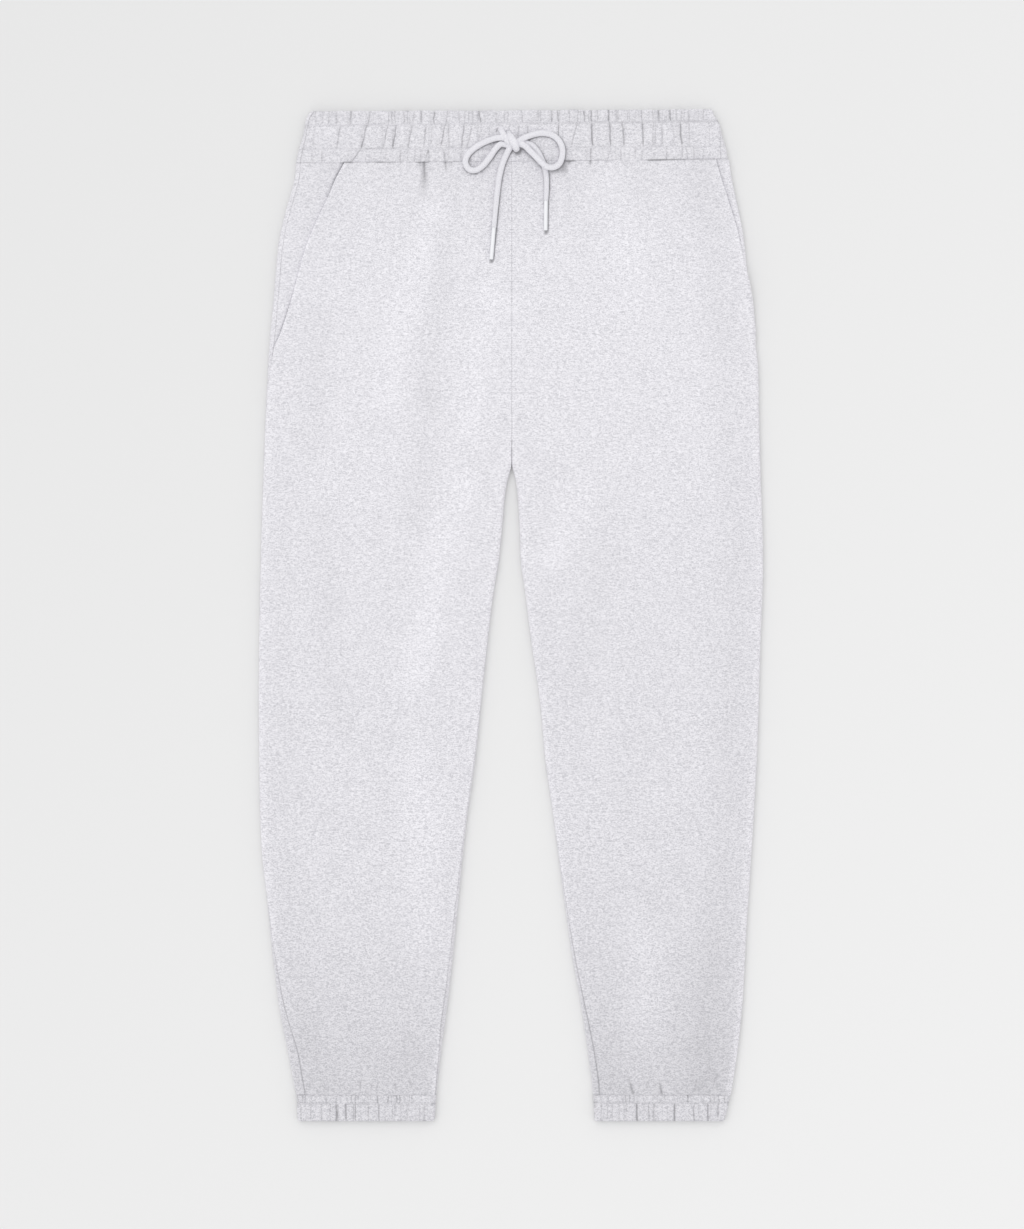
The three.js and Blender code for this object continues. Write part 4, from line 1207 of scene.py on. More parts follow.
def cord_shade(x, y, radius):
    """Shade painted on the cloth close under the cords: a thin line, mostly below and to the left.

    Painted soft shadows under the bow's left loop, which stands clear of the cloth, are added.
    """
    x, y = np.broadcast_arrays(x, y)
    near = (np.abs(x) < 75) & (y > 340)
    shade = np.zeros(x.shape)
    for side, points in CORD_ROUTES.items():
        route, lengths = smooth_route((*points, TIPS[side][1]), 1.5)
        wide = cord_radii(route, lengths, radius) + 0.1
        for (a, b, height), reach in zip(route[11:], wide[11:]):
            clear = max(height - CORD_REST, 0)
            across, down = x[near] - a - 0.2 * clear, b - 0.3 * clear - y[near]
            distance = np.maximum(np.hypot(across, down), 0.01)
            side = np.clip(0.2 + (0.66 * across + 0.75 * down) / distance, 0, 1)
            edge = np.maximum(distance - reach, 0)
            dark = side * thin_line(edge, 0.64 + 0.13 * clear) / (1 + 0.2 * clear)
            shade[near] = np.maximum(shade[near], dark)
    shade *= CORD_SHADE * (1 + 0.3 * soft_noise(x, y, 4.5, 71))
    for row in SHADOWS.rows():
        spot = ((x - row["x"]) / row["wide"]) ** 2 + ((y - row["y"]) / row["tall"]) ** 2
        shade = shade + row["dark"] * np.exp(-spot) * (1 + 0.35 * soft_noise(x, y, 3.0, 72))
    return shade


def smooth_route(points, pitch):
    """Evenly spaced points on a smooth curve through the given ones."""
    points = np.array(points, float)
    steps = np.maximum(np.linalg.norm(np.diff(points, axis=0), axis=1), 1e-6) ** 0.5
    at = np.concatenate([[0], np.cumsum(steps)])
    spots = np.arange(len(at))
    before, after = np.maximum(spots - 1, 0), np.minimum(spots + 1, len(at) - 1)
    slopes = (points[after] - points[before]) / (at[after] - at[before])[:, None]
    fine = np.linspace(0, at[-1], 4000)
    k = np.clip(np.searchsorted(at, fine, side="right") - 1, 0, len(at) - 2)
    span = (at[k + 1] - at[k])[:, None]
    t = (fine[:, None] - at[k][:, None]) / span
    curve = (2 * t**3 - 3 * t**2 + 1) * points[k] + (t**3 - 2 * t**2 + t) * span * slopes[k]
    curve += (3 * t**2 - 2 * t**3) * points[k + 1] + (t**3 - t**2) * span * slopes[k + 1]
    lengths = np.concatenate([[0], np.cumsum(np.linalg.norm(np.diff(curve, axis=0), axis=1))])
    count = max(2, int(round(lengths[-1] / pitch)))
    even = np.linspace(0, lengths[-1], count + 1)
    return np.stack([np.interp(even, lengths, curve[:, n]) for n in range(3)], -1), even


def oval_rings(route, radii, sides, flatness):
    """Rings of points round a route, wide along the cloth and thinner upwards.

    Where the route runs steeply, its width turns evenly from that before to that after.
    """
    ways = np.gradient(route, axis=0)
    ways /= np.linalg.norm(ways, axis=1)[:, None]
    level = np.stack([ways[:, 1], -ways[:, 0], 0 * ways[:, 0]], 1)
    sloping = np.flatnonzero(np.linalg.norm(level, axis=1) > STEEP)
    level[sloping] /= np.linalg.norm(level[sloping], axis=1)[:, None]
    for before, after in zip(sloping, sloping[1:]):
        if level[before] @ level[after] < 0:
            level[after] *= -1
    spots = np.arange(len(level))
    for axis in range(2):
        level[:, axis] = np.interp(spots, sloping, level[sloping, axis])
    level -= (level * ways).sum(1)[:, None] * ways
    level /= np.linalg.norm(level, axis=1)[:, None]
    upward = np.cross(level, ways)
    turns = np.linspace(0, 2 * math.pi, sides, endpoint=False)[None, :, None]
    wide, tall = radii[:, None, None], (radii * flatness)[:, None, None]
    spread = np.cos(turns) * level[:, None] * wide + np.sin(turns) * upward[:, None] * tall
    return route[:, None] + spread


def tube(name, rings, ends, lengths, radius):
    """A closed tube through rings of points, with the cloth's UV map round and along it."""
    rows, sides = rings.shape[:2]
    k, j = (a.ravel() for a in np.mgrid[0 : rows - 1, 0:sides])
    nxt = (j + 1) % sides
    quads = np.stack([k * sides + j, k * sides + nxt, (k + 1) * sides + nxt, (k + 1) * sides + j], 1)
    start, last = rows * sides, (rows - 1) * sides
    caps = [(start, (n + 1) % sides, n) for n in range(sides)]
    caps += [(start + 1, last + n, last + (n + 1) % sides) for n in range(sides)]
    girth = 2 * math.pi * radius / sides
    around = np.stack([j, j + 1, j + 1, j], 1) * girth
    along = np.stack([lengths[k], lengths[k], lengths[k + 1], lengths[k + 1]], 1)
    flat = np.stack([around, along], -1).reshape(-1, 2).tolist()
    flat += [(0, lengths[0])] * (3 * sides) + [(0, lengths[-1])] * (3 * sides)
    points = np.concatenate([rings.reshape(-1, 3), ends]) * MM
    return mesh_piece(name, points, quads.tolist() + caps, np.array(flat) * MM)


class GARMENT_OT_drawstring(Operator):
    """Adds the two ends of the drawstring, tied in a bow, and their dipped tips"""

    bl_idname = "garment.drawstring"
    bl_label = "Drawstring"

    def execute(self, context):
        settings = context.scene.garment
        cord = settings.cord
        braid = cord_material("cotton_braid", cord.color)
        dipped = tip_material("dipped_tip", cord.tip_color)
        for side, points in CORD_ROUTES.items():
            route, lengths = smooth_route(points, CORD_PITCH)
            radius = cord.diameter / 2 / MM
            thin = cord.tip_diameter / 2 / MM
            shrink = fade(lengths[-1] - lengths, TIP_TAPER)
            radii = cord_radii(route, lengths, radius)
            radii = radii + (thin + 0.2 - radii) * shrink
            flatness = CORD_FLATNESS + (1 - CORD_FLATNESS) * shrink
            rings = oval_rings(route, radii, CORD_SIDES, flatness)
            end = tube(f"drawstring_{side}", rings, route[[0, -1]], lengths, radius)
            dress(end, "cord", braid, "drawstring")
            tip = self.tip(side, thin)
            dress(tip, "tip", dipped, f"cord_tip_{side}")
        return {"FINISHED"}

    def tip(self, side, radius):
        """A dipped end: a rod that narrows a little, with both its rims rounded."""
        start, stop = (Vector(point) * MM for point in TIPS[side])
        tip = modelled(
            bpy.ops.mesh.primitive_cylinder_add,
            vertices=20,
            radius=radius * MM,
            depth=(stop - start).length,
        )
        chosen(tip, lambda corner: corner.z < 0)
        bpy.ops.transform.resize(value=(0.92, 0.92, 1))
        bpy.ops.mesh.select_all(action="SELECT")
        bpy.ops.mesh.subdivide(number_cuts=2)
        bpy.ops.mesh.select_all(action="DESELECT")
        bpy.ops.object.mode_set(mode="OBJECT")
        rim = tip.modifiers.new("rims", "BEVEL")
        rim.width, rim.segments, rim.angle_limit = TIP_RIM * MM, 3, math.radians(60)
        bpy.ops.object.modifier_apply(modifier=rim.name)
        bpy.ops.object.shade_smooth()
        tip.rotation_euler = (start - stop).to_track_quat("Z", "Y").to_euler()
        tip.location = (start + stop) / 2
        return placed(tip, f"cord_tip_{side}_dipped")


# Legs


def gathered_shares(leg, start, stop, pitch, fine):
    """Shares across a front, closer together where the waistband gathers it."""
    near, far = sorted(abs(leg["outer"].values["x"][0] - x) for x in leg["gathered"])
    places = [start, near - 6, near, far, far + 6, stop]
    return shares_by_pitch(places, [pitch, pitch, fine, fine, pitch, pitch], start, stop)


def panel_cut(widths, heights):
    flat, area = cut_size(widths, heights)


class GARMENT_OT_backs(Operator):
    """Adds the two back panels, which lie on the surface"""

    bl_idname = "garment.backs"
    bl_label = "Back panels"

    def execute(self, context):
        settings = context.scene.garment
        wall = settings.cloth.wall / MM
        for name, leg in LEGS.items():
            y = falling(WAIST_Y, ANKLE_Y, 190)
            section = LegSections(leg, y, 0)
            start = -(section.side_seam - SEAM_GAP / 2)
            stop = section.total + section.inner_back
            past = spaced(start, stop, np.linspace(0, 1, 72))
            x = section.first.flat_x(past)
            crease = np.maximum(fold_relief(BACK_FOLDS, x, y), 0) * settings.cloth.fold_depth
            crease = crease * fade(np.maximum(section.first.quarter - past, 0), 4)
            sunk = rounded(past - start, SEAM_ROUND) + rounded(stop - past, SEAM_ROUND)
            sunk = sunk + rounded(WAIST_Y - y, SEAM_ROUND) + rounded(y - ANKLE_Y, SEAM_ROUND)
            ends = np.minimum(past - start, stop - past)
            joins = np.minimum(WAIST_Y - y, y - ANKLE_Y)
            piece = shell(
                f"back_{name}_cloth",
                section.grid(past, np.minimum(crease + sunk, 1.05), False),
                section.grid(past, wall - np.minimum(sunk, 1.05) + crease * 0.5, False),
                past,
                seam_shade(ends, x, y) + seam_shade(joins, x, y) + section.shade(x),
            )
            dress(piece, "fleece", fleece(settings), f"back_{name}")
            panel_cut(stop - start, y)
        return {"FINISHED"}


class GARMENT_OT_fronts(Operator):
    """Adds the two front panels, which lie on the backs"""

    bl_idname = "garment.fronts"
    bl_label = "Front panels"

    def execute(self, context):
        settings = context.scene.garment
        wall = settings.cloth.wall / MM
        for name, leg in LEGS.items():
            y = falling(WAIST_Y, ANKLE_Y, 151, 22)
            section = LegSections(leg, y, settings.cloth.fold_depth)
            start = front_start(leg, section)
            stop = section.total - section.inner_front
            shares = gathered_shares(leg, float(start[0, 0]), float(stop[0, 0]), 1.8, 0.85)
            past = spaced(start, stop, shares)
            foot = leg["mouth"].values["y"][-1]
            free = fade(np.maximum(foot + 12 - y, 0), 16)
            sunk = self.free_edge(past - start, free) + rounded(stop - past, SEAM_ROUND)
            sunk = sunk + rounded(WAIST_Y - y, SEAM_ROUND) + rounded(y - ANKLE_Y, 0.15)
            sunk = np.minimum(sunk, 1.05)
            x = section.first.flat_x(past)
            # Painted shade along the waist's seam, under the band's edge
            waist = WAIST_SHADE.at("dark", x) * thin_line(WAIST_Y - y, 0.7)
            painted_shade = seam_shade(past - start, x, y) * (1 - free) + seam_shade(stop - past, x, y)
            painted_shade = painted_shade + waist + 0.4 * seam_shade(y - ANKLE_Y, x, y) + section.shade(x)
            # Painted highlight along the pocket mouth's turned edge
            painted_shade = painted_shade - 0.1 * free * fade(np.maximum(past - start - 0.6, 0), 4)
            # Painted shade in the creases, a little less low down
            low = np.clip((y + 300) / 100, 0.7, 1)
            painted_shade = painted_shade + 0.8 * low * crease_dip(leg["creases"], x, y)[1]
            painted_shade = painted_shade + cord_shade(x, section.y(x), settings.cord.diameter / 2 / MM)
            beyond = np.maximum(past - start - MOUTH_LAP - 3, 0)
            lengthwise = fade(np.maximum(foot - FACING_TAIL - y, 0), LIFT_TAIL)
            lift = LIFT * lengthwise * fade(beyond, LIFT_BLEND)
            piece = shell(
                f"front_{name}_cloth",
                section.grid(past, sunk - lift, True),
                section.grid(past, wall - sunk - lift, True),
                past,
                painted_shade,
            )
            dress(piece, "fleece", fleece(settings), f"front_{name}")
            panel_cut(stop - start, y)
        return {"FINISHED"}

    def free_edge(self, distance, free):
        """The pocket mouth's turned edge is full and round, and a seamed edge is tighter."""
        ridge = -0.3 * np.exp(-(((distance - 2.6) / 1.8) ** 2)) * free
        return rounded(distance, SEAM_ROUND) * (1 - free) + rounded(distance, 1.1) * free + ridge


class GARMENT_OT_facings(Operator):
    """Adds the pieces that show in the pockets' mouths"""

    bl_idname = "garment.facings"
    bl_label = "Pocket facings"

    def execute(self, context):
        settings = context.scene.garment
        wall = settings.cloth.wall / MM
        for name, leg in LEGS.items():
            foot = leg["mouth"].values["y"][-1] - FACING_TAIL
            y = falling(WAIST_Y, foot, 60)
            section = LegSections(leg, y, settings.cloth.fold_depth)
            start = section.side_seam + SEAM_GAP / 2
            mouth = np.maximum(leg["mouth"].at("past", y), start)
            stop = mouth + MOUTH_LAP
            past = self.columns(start, mouth, stop)
            sunk = rounded(past - start, SEAM_ROUND) + rounded(stop - past, 0.8)
            sunk = sunk + rounded(WAIST_Y - y, SEAM_ROUND) + rounded(y - foot, 0.8)
            sunk = np.minimum(sunk, 1.05)
            to_mouth = np.minimum(past - mouth, 0)
            # Painted shade under the pocket's mouth, where the facing sinks below the front's edge
            dark = MOUTH_SHADE.at(name, y)
            sunk = sunk + 0.9 * dark * thin_line(to_mouth, 2.0)
            painted_shade = dark * thin_line(to_mouth, 0.9) + 0.15 * dark * thin_line(to_mouth, 4)
            x = section.first.flat_x(past)
            painted_shade = painted_shade + seam_shade(past - start, x, y) + seam_shade(WAIST_Y - y, x, y)
            piece = shell(
                f"pocket_facing_{name}_cloth",
                section.grid(past, sunk, True),
                section.grid(past, wall - np.minimum(sunk, 1.05), True),
                past,
                painted_shade + section.shade(x),
            )
            dress(piece, "fleece", fleece(settings), f"pocket_facing_{name}")
            panel_cut(stop - start, y)
        return {"FINISHED"}

    def columns(self, start, mouth, stop):
        """Places across a facing, close together at its edges and under the pocket's mouth."""
        free = mouth - start
        edge = np.minimum(free / 4, 1) * EDGE_STEPS[1:]
        near = np.minimum(free / 8, 1) * np.array([-3, -2.2, -1.6, -1.1, -0.7, -0.35])
        middle = np.linspace(0, 1, 16)[1:-1]
        inner = start + edge[:, -1:] + (mouth + near[:, :1] - start - edge[:, -1:]) * middle
        under = mouth + np.array([0, 0.5, 1.2, 2.4, 4.5, 7.5, 11, 14]) * (stop - mouth) / MOUTH_LAP
        last = stop - EDGE_STEPS[-2::-1]
        return np.concatenate([start, start + edge, inner, mouth + near, under, last], axis=1)


# Waistband and cuffs

BAND_CREST = Table(
    "step crest",
    (3, 9.0),
    (2.5, 9.7),
    (2, 9.3),
    (1.75, 9.9),
    (1.22, 9.9),
    (1, 9.3),
    (0.5, 9.7),
    (0, 9.2),
)
BAND_ZONES = (
    (0, EDGE_GATHERS, fine_gathers(-200, 98, 4.4, 21), fine_gathers(98, 198, 3.2, 24)),
    (1, CHANNEL_GATHERS, fine_gathers(-200, 198, 13.0, 22)),
    (2, SEAM_GATHERS, fine_gathers(-200, 198, 6.5, 23)),
)


def gather_dip(gathers, x, lean, seed):
    """Depth of a row of gathers, each a narrow crease in a soft trough with its own reach.

    Gives the shade painted along each crease as well.
    """
    picks = np.random.default_rng(seed)
    dip, painted_shade = 0.0 * (x + lean), 0.0 * (x + lean)
    for row in gathers.rows():
        centre = row["bottom"] + (row["top"] - row["bottom"]) * lean
        centre = centre + 0.5 * soft_noise(lean * 20 + row["top"], 0.0, 6, seed)
        reach = 0.35 + 0.55 * min(row["depth"], 1.0)
        middle = picks.uniform(0.35, 0.65)
        length = fade(np.maximum(np.abs(lean - middle) - reach * 0.5, 0), 0.3)
        narrow = picks.uniform(0.45, 0.75)
        off = x - centre
        trough = 0.7 / np.cosh(off / narrow) + 0.3 * thin_line(off, 3.2)
        dip += row["depth"] * length * trough
        uneven = 1 + 0.35 * soft_noise(lean * 30, row["top"], 5, seed + 1)
        dark = thin_line(off, narrow) + 0.06 * thin_line(off, 3.0)
        painted_shade += row["depth"] ** 1.4 * length * dark * uneven
    return dip, painted_shade


class BandSections(FlatTube):
    """Sections of the waistband at steps from its rolled top, 0, down to its seam, 3."""

    def __init__(self, step, strength):
        self.step = step
        self.right, self.left = BAND_LINES.between("right", step), BAND_LINES.between("left", step)
        height = self.right + (self.left - self.right) * 216 / 433
        first = RolledEnd(BAND_ENDS.at("right", height), 1, BAND_FOLD)
        last = RolledEnd(BAND_ENDS.at("left", height), -1, BAND_FOLD)
        self.seams = BAND_ENDS.at("seam_right", height), BAND_ENDS.at("seam_left", height)
        self.height, self.strength = height, strength
        crest = BAND_CREST.at("crest", step)

        def top(x):
            from_end = np.minimum(x - first.x - first.radius, last.x - last.radius - x)
            return crest + (BAND_FOLD - crest) * fade(np.maximum(from_end, 0), 12)

        super().__init__(first, last, top)

    def y(self, x):
        return self.right + np.clip((x + 216) / 433, 0, 1) * (self.left - self.right)

    def dip(self, x, seed):
        """Depth of the gathers and the two lines of stitching, and the shade painted in them and over the band.
        """
        step = self.step
        total, painted_shade = 0.0, 0.0
        for zone, *rows in BAND_ZONES:
            inside = (step >= zone) & (step < zone + 1 + (zone == 2))
            lean = np.clip(1 - (step - zone), 0, 1)
            for gathers in rows:
                dip, dark = gather_dip(gathers, x, lean, seed + zone)
                total, painted_shade = total + inside * dip, painted_shade + inside * dark
        lines = np.minimum(np.abs(step - 1), np.abs(step - 2)) * 16
        held = 0.35 + 0.65 * (1 - fade(lines, 2.6))
        uneven = 1 + 0.5 * soft_noise(x, step * 40, 17, seed + 30)
        groove = thin_line(lines) * uneven
        wavy = 0.3 * soft_noise(x, step * 14, 13, seed + 31)
        upper = 0.12 * fade(np.abs(step - 1) * 16, 2.5) * np.clip((x + 40) / 80, 0.2, 1)
        # Painted shade: in the gathers and stitched grooves, along the upper line, evenly over the whole band
        # and a little unevenly
        painted_shade = 0.56 * painted_shade * held + 0.2 * groove + upper + 0.15 + 0.1 * wavy
        return self.strength * (total * held + 0.6 * groove + wavy), self.strength * painted_shade

    def ruffle(self, x, seed):
        """How far the rolled top edge draws in and stands out along its length."""
        edge = fade(self.step, 0.7)
        drawn = gather_dip(EDGE_GATHERS, x, 0 * self.step + 0.5, seed)[0]
        return edge * (0.7 * drawn + 0.45 * soft_noise(x, 0 * x, 5.5, seed + 40))

    def dimples(self, x, y):
        """Where the two ends of the cord come out, each beside a short slit."""
        total = 0.0
        for hole_x, hole_y in ((-10.6, 485.4), (-3.4, 481.6)):
            spot = ((x - hole_x) / 3.2) ** 2 + ((y - hole_y) / 2.4) ** 2
            total = total + 1.5 * np.exp(-spot)
        slits = crease_dip(SLITS, x, y)
        return total + slits[0], slits[1]

    def grid(self, past, depth, over, seed=40):
        x, z = self.place(past, depth, over)
        return np.stack([x, self.y(x) - self.ruffle(x, seed), z], -1) * MM


def band_steps():
    """Steps of the waistband's rows, close together at its edges and stitched lines."""
    edge, channel, seam = np.linspace(0, 1, 15), np.linspace(1, 2, 23), np.linspace(2, 3, 14)
    near = np.array([0.006, 0.02, 0.04, 0.96, 0.98, 1.02, 1.035, 1.97, 1.985, 2.03, 2.05, 2.97, 2.99])
    return np.unique(np.round(np.concatenate([edge, channel, seam, near]), 4))[:, None]


class GARMENT_OT_waistband(Operator):
    """Adds the front and the back of the gathered waistband"""

    bl_idname = "garment.waistband"
    bl_label = "Waistband"

    def execute(self, context):
        settings = context.scene.garment
        wall = settings.cloth.band_wall / MM
        step = band_steps()
        section = BandSections(step, settings.cloth.crease_depth)
        sunk = rounded(step * 15, 2.0) + rounded((3 - step) * 13.4, 0.4)
        spread = 1.08
        for side, over, seed in (("front", True, 40), ("back", False, 60)):
            sign = 1 if over else -1
            start = sign * section.seams[0] + SEAM_GAP / 2
            stop = section.total - sign * section.seams[1] - SEAM_GAP / 2
            past = spaced(start, stop, np.linspace(0, 1, 680))
            x = section.first.flat_x(past)
            dip, painted_shade = section.dip(x, seed)
            if over:
                y = section.y(x)
                dimple, slit = section.dimples(x, y)
                shade = cord_shade(x, y, settings.cord.diameter / 2 / MM)
                dip, painted_shade = dip + dimple, painted_shade + slit + shade
            else:
                dip = np.maximum(dip, 0) * 0.6
            edges = sunk + rounded(past - start, SEAM_ROUND) + rounded(stop - past, SEAM_ROUND)
            edges = np.minimum(edges, 1.95)
            # Painted shade along the band's seam
            waist = WAIST_SHADE.at("dark", x) if over else 0.3
            painted_shade = painted_shade + waist * thin_line((3 - step) * 13.4)
            painted_shade = painted_shade + seam_shade(np.minimum(past - start, stop - past), x, 0 * x)
            piece = shell(
                f"waistband_{side}_cloth",
                section.grid(past, edges + dip, over),
                section.grid(past, wall - edges + dip * (0.3 if over else 0), over),
                past,
                painted_shade,
            )
            dress(piece, "band", banding(settings), f"waistband_{side}")
            width = float((stop - start).max()) * spread * MM
        return {"FINISHED"}


RIDGE_GATHERS = fine_gathers(-216, 222, 3.6, 31)
HEM_GATHERS = fine_gathers(-216, 222, 6.0, 32)
CUFF_CREST = Table(
    "at crest",
    (1.0, 9.0),
    (0.9, 9.4),
    (0.5, 9.6),
    (0.31, 9.1),
    (0.14, 9.5),
    (0.0, 8.8),
)


class CuffSections(FlatTube):
    """Sections of a cuff at shares of its height from its seam, 0, to its hem, 1."""

    def __init__(self, name, at, strength):
        ends = CUFF_ENDS[name]
        self.name, self.at_rows, self.strength = name, at, strength
        self.stitch = ends["stitch"]
        xs = [ends["seam"][n] + (ends["hem"][n] - ends["seam"][n]) * at for n in (0, 1)]
        first, last = RolledEnd(xs[0], 1, BAND_FOLD), RolledEnd(xs[1], -1, BAND_FOLD)
        crest = CUFF_CREST.at("crest", at)

        def top(x):
            from_end = np.minimum(x - first.x - first.radius, last.x - last.radius - x)
            return crest + (BAND_FOLD - crest) * fade(np.maximum(from_end, 0), 10)

        super().__init__(first, last, top)

    def dip(self, x, seed):
        """Depth of the gathers, finer over the seam's ridge, and of the stitching, and the shade painted in them
        and over the cuff.
        """
        at = self.at_rows
        below = np.clip((at - self.stitch) / 0.06, 0, 1)
        body, painted_shade = gather_dip(CUFF_GATHERS[self.name], x, 1 - at, seed)
        ridge, ridge_shade = gather_dip(RIDGE_GATHERS, x, 1 - at / self.stitch, seed + 1)
        fine, fine_shade = gather_dip(HEM_GATHERS, x, 1 - at, seed + 2)
        line = np.abs(at - self.stitch) * 26
        held = 0.4 + 0.6 * (1 - fade(line, 2.4))
        groove = thin_line(line) * (1 + 0.5 * soft_noise(x, 0 * x, 12, seed + 4))
        wavy = 0.25 * soft_noise(x, at * 26, 11, seed + 3)
        dip = ((body + fine) * below + ridge * (1 - below)) * held + 0.6 * groove + wavy
        # Painted shade: in the gathers and the stitched groove, evenly over the whole cuff and a little unevenly
        painted_shade = 0.6 * (painted_shade + fine_shade) * below * held + 0.8 * ridge_shade * (1 - below)
        return self.strength * dip, self.strength * (painted_shade + 0.4 * groove + 0.25 + 0.1 * wavy)

    def grid(self, past, depth):
        """The ring of points: over the top from the first end, and back along the bottom."""
        over = past < self.total
        x1, z1 = self.place(past, depth, True)
        x2, z2 = self.place(2 * self.total - past, depth, False)
        x, z = np.where(over, x1, x2), np.where(over, z1, z2)
        y = CUFF_Y[0] - 0.02 + (CUFF_Y[1] - CUFF_Y[0] + 0.02) * self.at_rows
        return np.stack([x, y + 0 * x, z], -1) * MM


class GARMENT_OT_cuffs(Operator):
    """Adds the two gathered ankle cuffs"""

    bl_idname = "garment.cuffs"
    bl_label = "Cuffs"

    def execute(self, context):
        settings = context.scene.garment
        wall = settings.cloth.band_wall / MM
        at = np.concatenate([[0, 0.006, 0.02, 0.04], np.linspace(0.07, 0.94, 25), [0.965, 0.985, 0.994, 1]])
        at = at[:, None]
        for name, seed in (("right", 80), ("left", 90)):
            section = CuffSections(name, at, settings.cloth.crease_depth)
            columns = 520
            past = 2 * section.total * np.arange(columns + 1) / columns
            edges = np.minimum(rounded(at * 26, 0.2) + rounded((1 - at) * 26, 2.0), 1.95)
            x = np.where(past < section.total, section.first.flat_x(past),
                         section.first.flat_x(2 * section.total - past))
            under = np.where(past < section.total, 1.0, 0.55)
            dip, painted_shade = section.dip(x, seed)
            dip = np.where(past < section.total, dip, np.maximum(dip, 0)) * under
            painted_shade = painted_shade + 0.5 * seam_shade(at * 26, x, 0 * x)
            piece = shell(
                f"cuff_{name}_cloth",
                section.grid(past[:, :-1], (edges + dip)[:, :-1]),
                section.grid(past[:, :-1], (wall - edges + dip * 0.3)[:, :-1]),
                past,
                painted_shade[:, :-1],
                ring=True,
            )
            dress(piece, "band", banding(settings), f"cuff_{name}")
            width = float((2 * section.total).max()) * 1.08 * MM
        return {"FINISHED"}


# Stitching


def modelled_stitch(length, diameter):
    """One stitch along X: a short thread that bows up in its middle and narrows at its ends."""
    stitch = modelled(bpy.ops.mesh.primitive_uv_sphere_add, segments=6, ring_count=6, radius=0.5)
    bpy.ops.transform.rotate(value=math.pi / 2, orient_axis="Y", center_override=(0, 0, 0))
    bpy.ops.transform.resize(value=(length, diameter, diameter))
    chosen(stitch, lambda corner: abs(corner.x) < 0.3 * length)
    bpy.ops.transform.resize(value=(1.25, 1, 1))
    bpy.ops.transform.translate(value=(0, 0, 0.3 * diameter))
    bpy.ops.object.mode_set(mode="OBJECT")
    return placed(stitch, "stitch")


def sewn(name, stitch, lines):
    """Copies of one stitch along lines of points, two points for each copy, as one piece."""
    ends = np.concatenate(lines).reshape(-1, 2, 3)
    corners = np.array([corner.co[:] for corner in stitch.data.vertices])
    faces = [tuple(face.vertices) for face in stitch.data.polygons]
    way = ends[:, 1] - ends[:, 0]
    way /= np.linalg.norm(way, axis=1)[:, None]
    level = np.stack([-way[:, 1], way[:, 0], 0 * way[:, 0]], 1)
    level /= np.linalg.norm(level, axis=1)[:, None]
    axes = np.stack([way, level, np.cross(way, level)], 1)
    points = ends.mean(1)[:, None] + np.einsum("ni,kij->knj", corners, axes)
    copies = [tuple(v + k * len(corners) for v in face) for k in range(len(ends)) for face in faces]
    return mesh_piece(name, points.reshape(-1, 3), copies)


def stitch_ends(surface, start, stop, length):
    """Both ends of each stitch on a line of the cloth; surface gives the point at a length."""
    pitch = length * 1.22
    count = int((stop - start) // pitch)
    places = start + np.arange(count)[:, None] * pitch + np.array([0, length])
    return surface(places.reshape(1, -1)).reshape(-1, 3)


class GARMENT_OT_stitching(Operator):
    """Adds the stitched lines of the waistband and of the cuffs"""

    bl_idname = "garment.stitching"
    bl_label = "Stitching"

    def execute(self, context):
        settings = context.scene.garment
        cloth = settings.cloth
        length = cloth.stitch_length / MM
        material = thread_material("sewing_thread", cloth.light_yarn)
        stitch = modelled_stitch(cloth.stitch_length, cloth.thread)
        for side, over, seed in (("front", True, 40), ("back", False, 60)):
            lines = []
            for step in (1.0, 2.0):
                section = BandSections(np.array([[step]]), cloth.crease_depth)
                sign = 1 if over else -1

                def surface(past, section=section, over=over, seed=seed):
                    dip = section.dip(section.first.flat_x(past), seed)[0]
                    dip = dip if over else np.maximum(dip, 0) * 0.6
                    return section.grid(past, dip + (0.05 if over else 0.25), over)

                start = float(sign * section.seams[0][0, 0]) + 2
                stop = float((section.total - sign * section.seams[1])[0, 0]) - 2
                lines.append(stitch_ends(surface, start, stop, length))
            dress(sewn(f"waistband_stitching_{side}", stitch, lines), "band", material)
        for name, seed in (("right", 80), ("left", 90)):
            section = CuffSections(name, np.array([[CUFF_ENDS[name]["stitch"]]]), cloth.crease_depth)

            def around(past, section=section, seed=seed):
                over = past < section.total
                x = section.first.flat_x(np.where(over, past, 2 * section.total - past))
                dip = section.dip(x, seed)[0] * np.where(over, 1.0, 0.55)
                dip = np.where(over, dip + 0.05, np.maximum(dip, 0) + 0.25)
                return section.grid(past, dip)

            total = float(section.total[0, 0])
            spans = ((6, total - 6), (total + 6, 2 * total - 6))
            lines = [stitch_ends(around, *span, length) for span in spans]
            dress(sewn(f"cuff_stitching_{name}", stitch, lines), "band", material)
        bpy.data.objects.remove(stitch)
        return {"FINISHED"}


# Stage


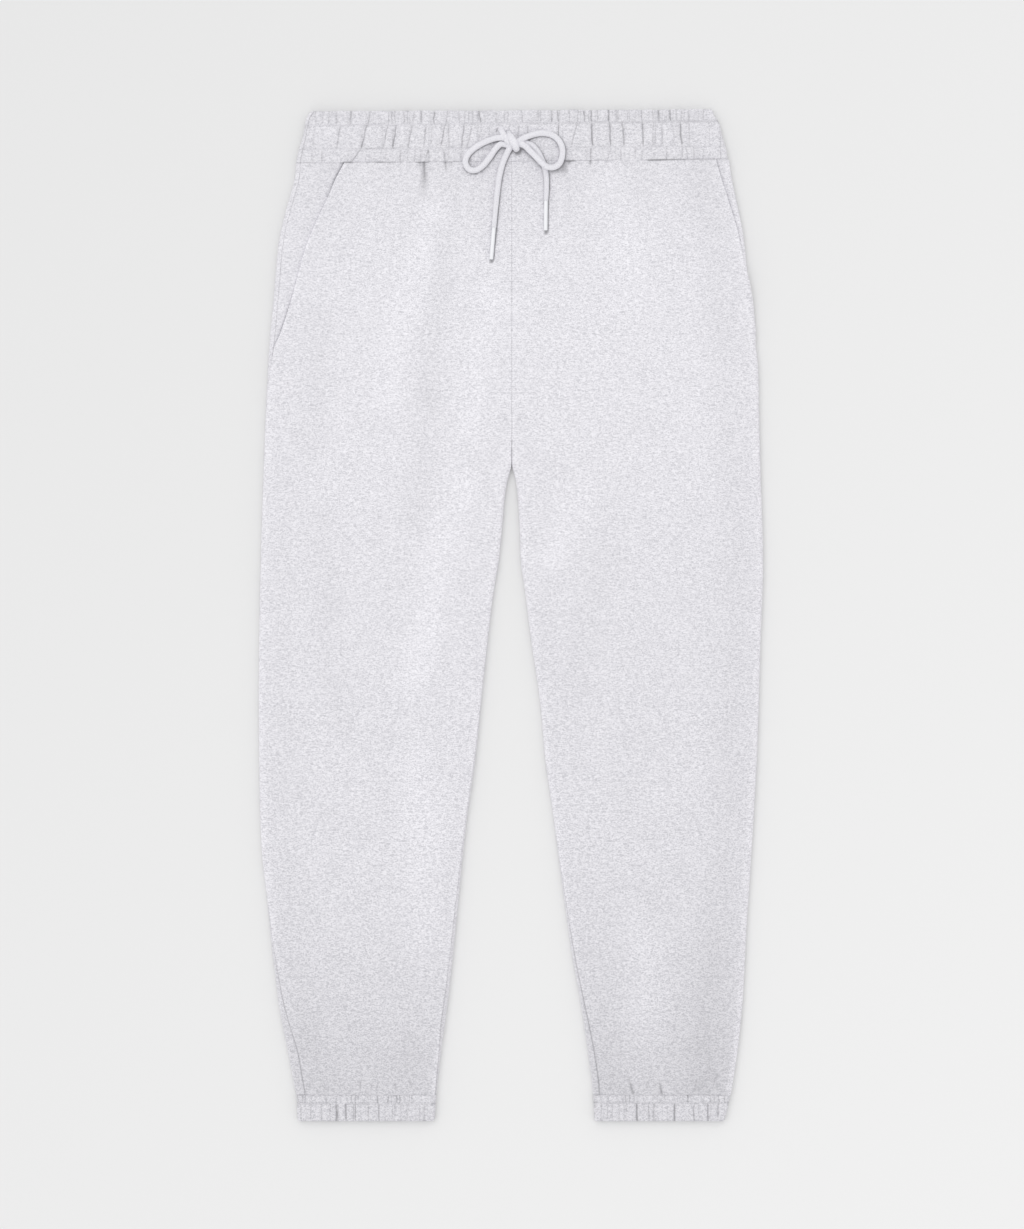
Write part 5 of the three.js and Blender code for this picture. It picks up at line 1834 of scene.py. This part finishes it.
class GARMENT_OT_stage(Operator):
    """Adds the camera straight above, the pale floor and the soft light"""

    bl_idname = "garment.stage"
    bl_label = "Stage"

    def execute(self, context):
        stage = context.scene.garment.stage
        self.camera(context, stage)
        self.floor(stage)
        self.lights(context, stage)
        context.scene.view_settings.view_transform = "Standard"
        return {"FINISHED"}

    def camera(self, context, stage):
        data = bpy.data.cameras.new("overhead_camera")
        data.sensor_fit = "VERTICAL"
        data.sensor_height = 36.0
        data.sensor_width = 36.0
        data.lens = 36.0 * stage.camera_height / stage.view_height
        camera = bpy.data.objects.new("overhead_camera", data)
        camera.location = (1.0 * MM, 0.5 * MM, stage.camera_height + 6 * MM)
        context.collection.objects.link(camera)
        context.scene.camera = camera

    def floor(self, stage):
        bpy.ops.object.select_all(action="DESELECT")
        bpy.ops.mesh.primitive_plane_add(size=8, location=(0, 0, -0.2 * MM))
        floor = bpy.context.object
        floor.name = "floor"
        floor.data.materials.append(floor_material("pale_paper", stage.floor_color))

    def lights(self, context, stage):
        world = bpy.data.worlds.new("even_light")
        world.use_nodes = True
        sky = world.node_tree.nodes["Background"]
        sky.inputs["Color"].default_value = (1, 1, 1, 1)
        sky.inputs["Strength"].default_value = stage.sky
        context.scene.world = world
        lamp = bpy.data.lights.new("soft_lamp", "SUN")
        lamp.energy = stage.key
        lamp.angle = stage.softness
        key = bpy.data.objects.new("soft_lamp", lamp)
        key.location = (-1.0, 1.2, 3.9)
        key.rotation_euler = key.location.to_track_quat("Z", "Y").to_euler()
        context.collection.objects.link(key)


class GarmentSettings(PropertyGroup):
    cloth: PointerProperty(type=ClothSettings)
    cord: PointerProperty(type=CordSettings)
    stage: PointerProperty(type=StageSettings)


class GARMENT_PT_sidebar(Panel):
    """Lists the pieces of the sweatpants"""

    bl_idname = "GARMENT_PT_sidebar"
    bl_label = "Sweatpants"
    bl_space_type = "VIEW_3D"
    bl_region_type = "UI"
    bl_category = "Sweatpants"

    def draw(self, context):
        for operator in OPERATORS:
            self.layout.operator(operator.bl_idname)
        settings = context.scene.garment
        for group in (settings.cloth, settings.cord, settings.stage):
            for name in group.__annotations__:
                self.layout.prop(group, name)


OPERATORS = (
    GARMENT_OT_stage,
    GARMENT_OT_drawstring,
    GARMENT_OT_backs,
    GARMENT_OT_facings,
    GARMENT_OT_fronts,
    GARMENT_OT_waistband,
    GARMENT_OT_cuffs,
    GARMENT_OT_stitching,
)
CLASSES = (
    ClothSettings,
    CordSettings,
    StageSettings,
    GarmentSettings,
    *OPERATORS,
    GARMENT_PT_sidebar,
)


def register():
    for cls in CLASSES:
        bpy.utils.register_class(cls)
    bpy.types.Scene.garment = PointerProperty(type=GarmentSettings)


def unregister():
    del bpy.types.Scene.garment
    for cls in reversed(CLASSES):
        bpy.utils.unregister_class(cls)


def main():
    """Makes every piece and the stage."""
    register()
    for operator in OPERATORS:
        group, name = operator.bl_idname.split(".")
        getattr(getattr(bpy.ops, group), name)()


if __name__ == "__main__":
    main()
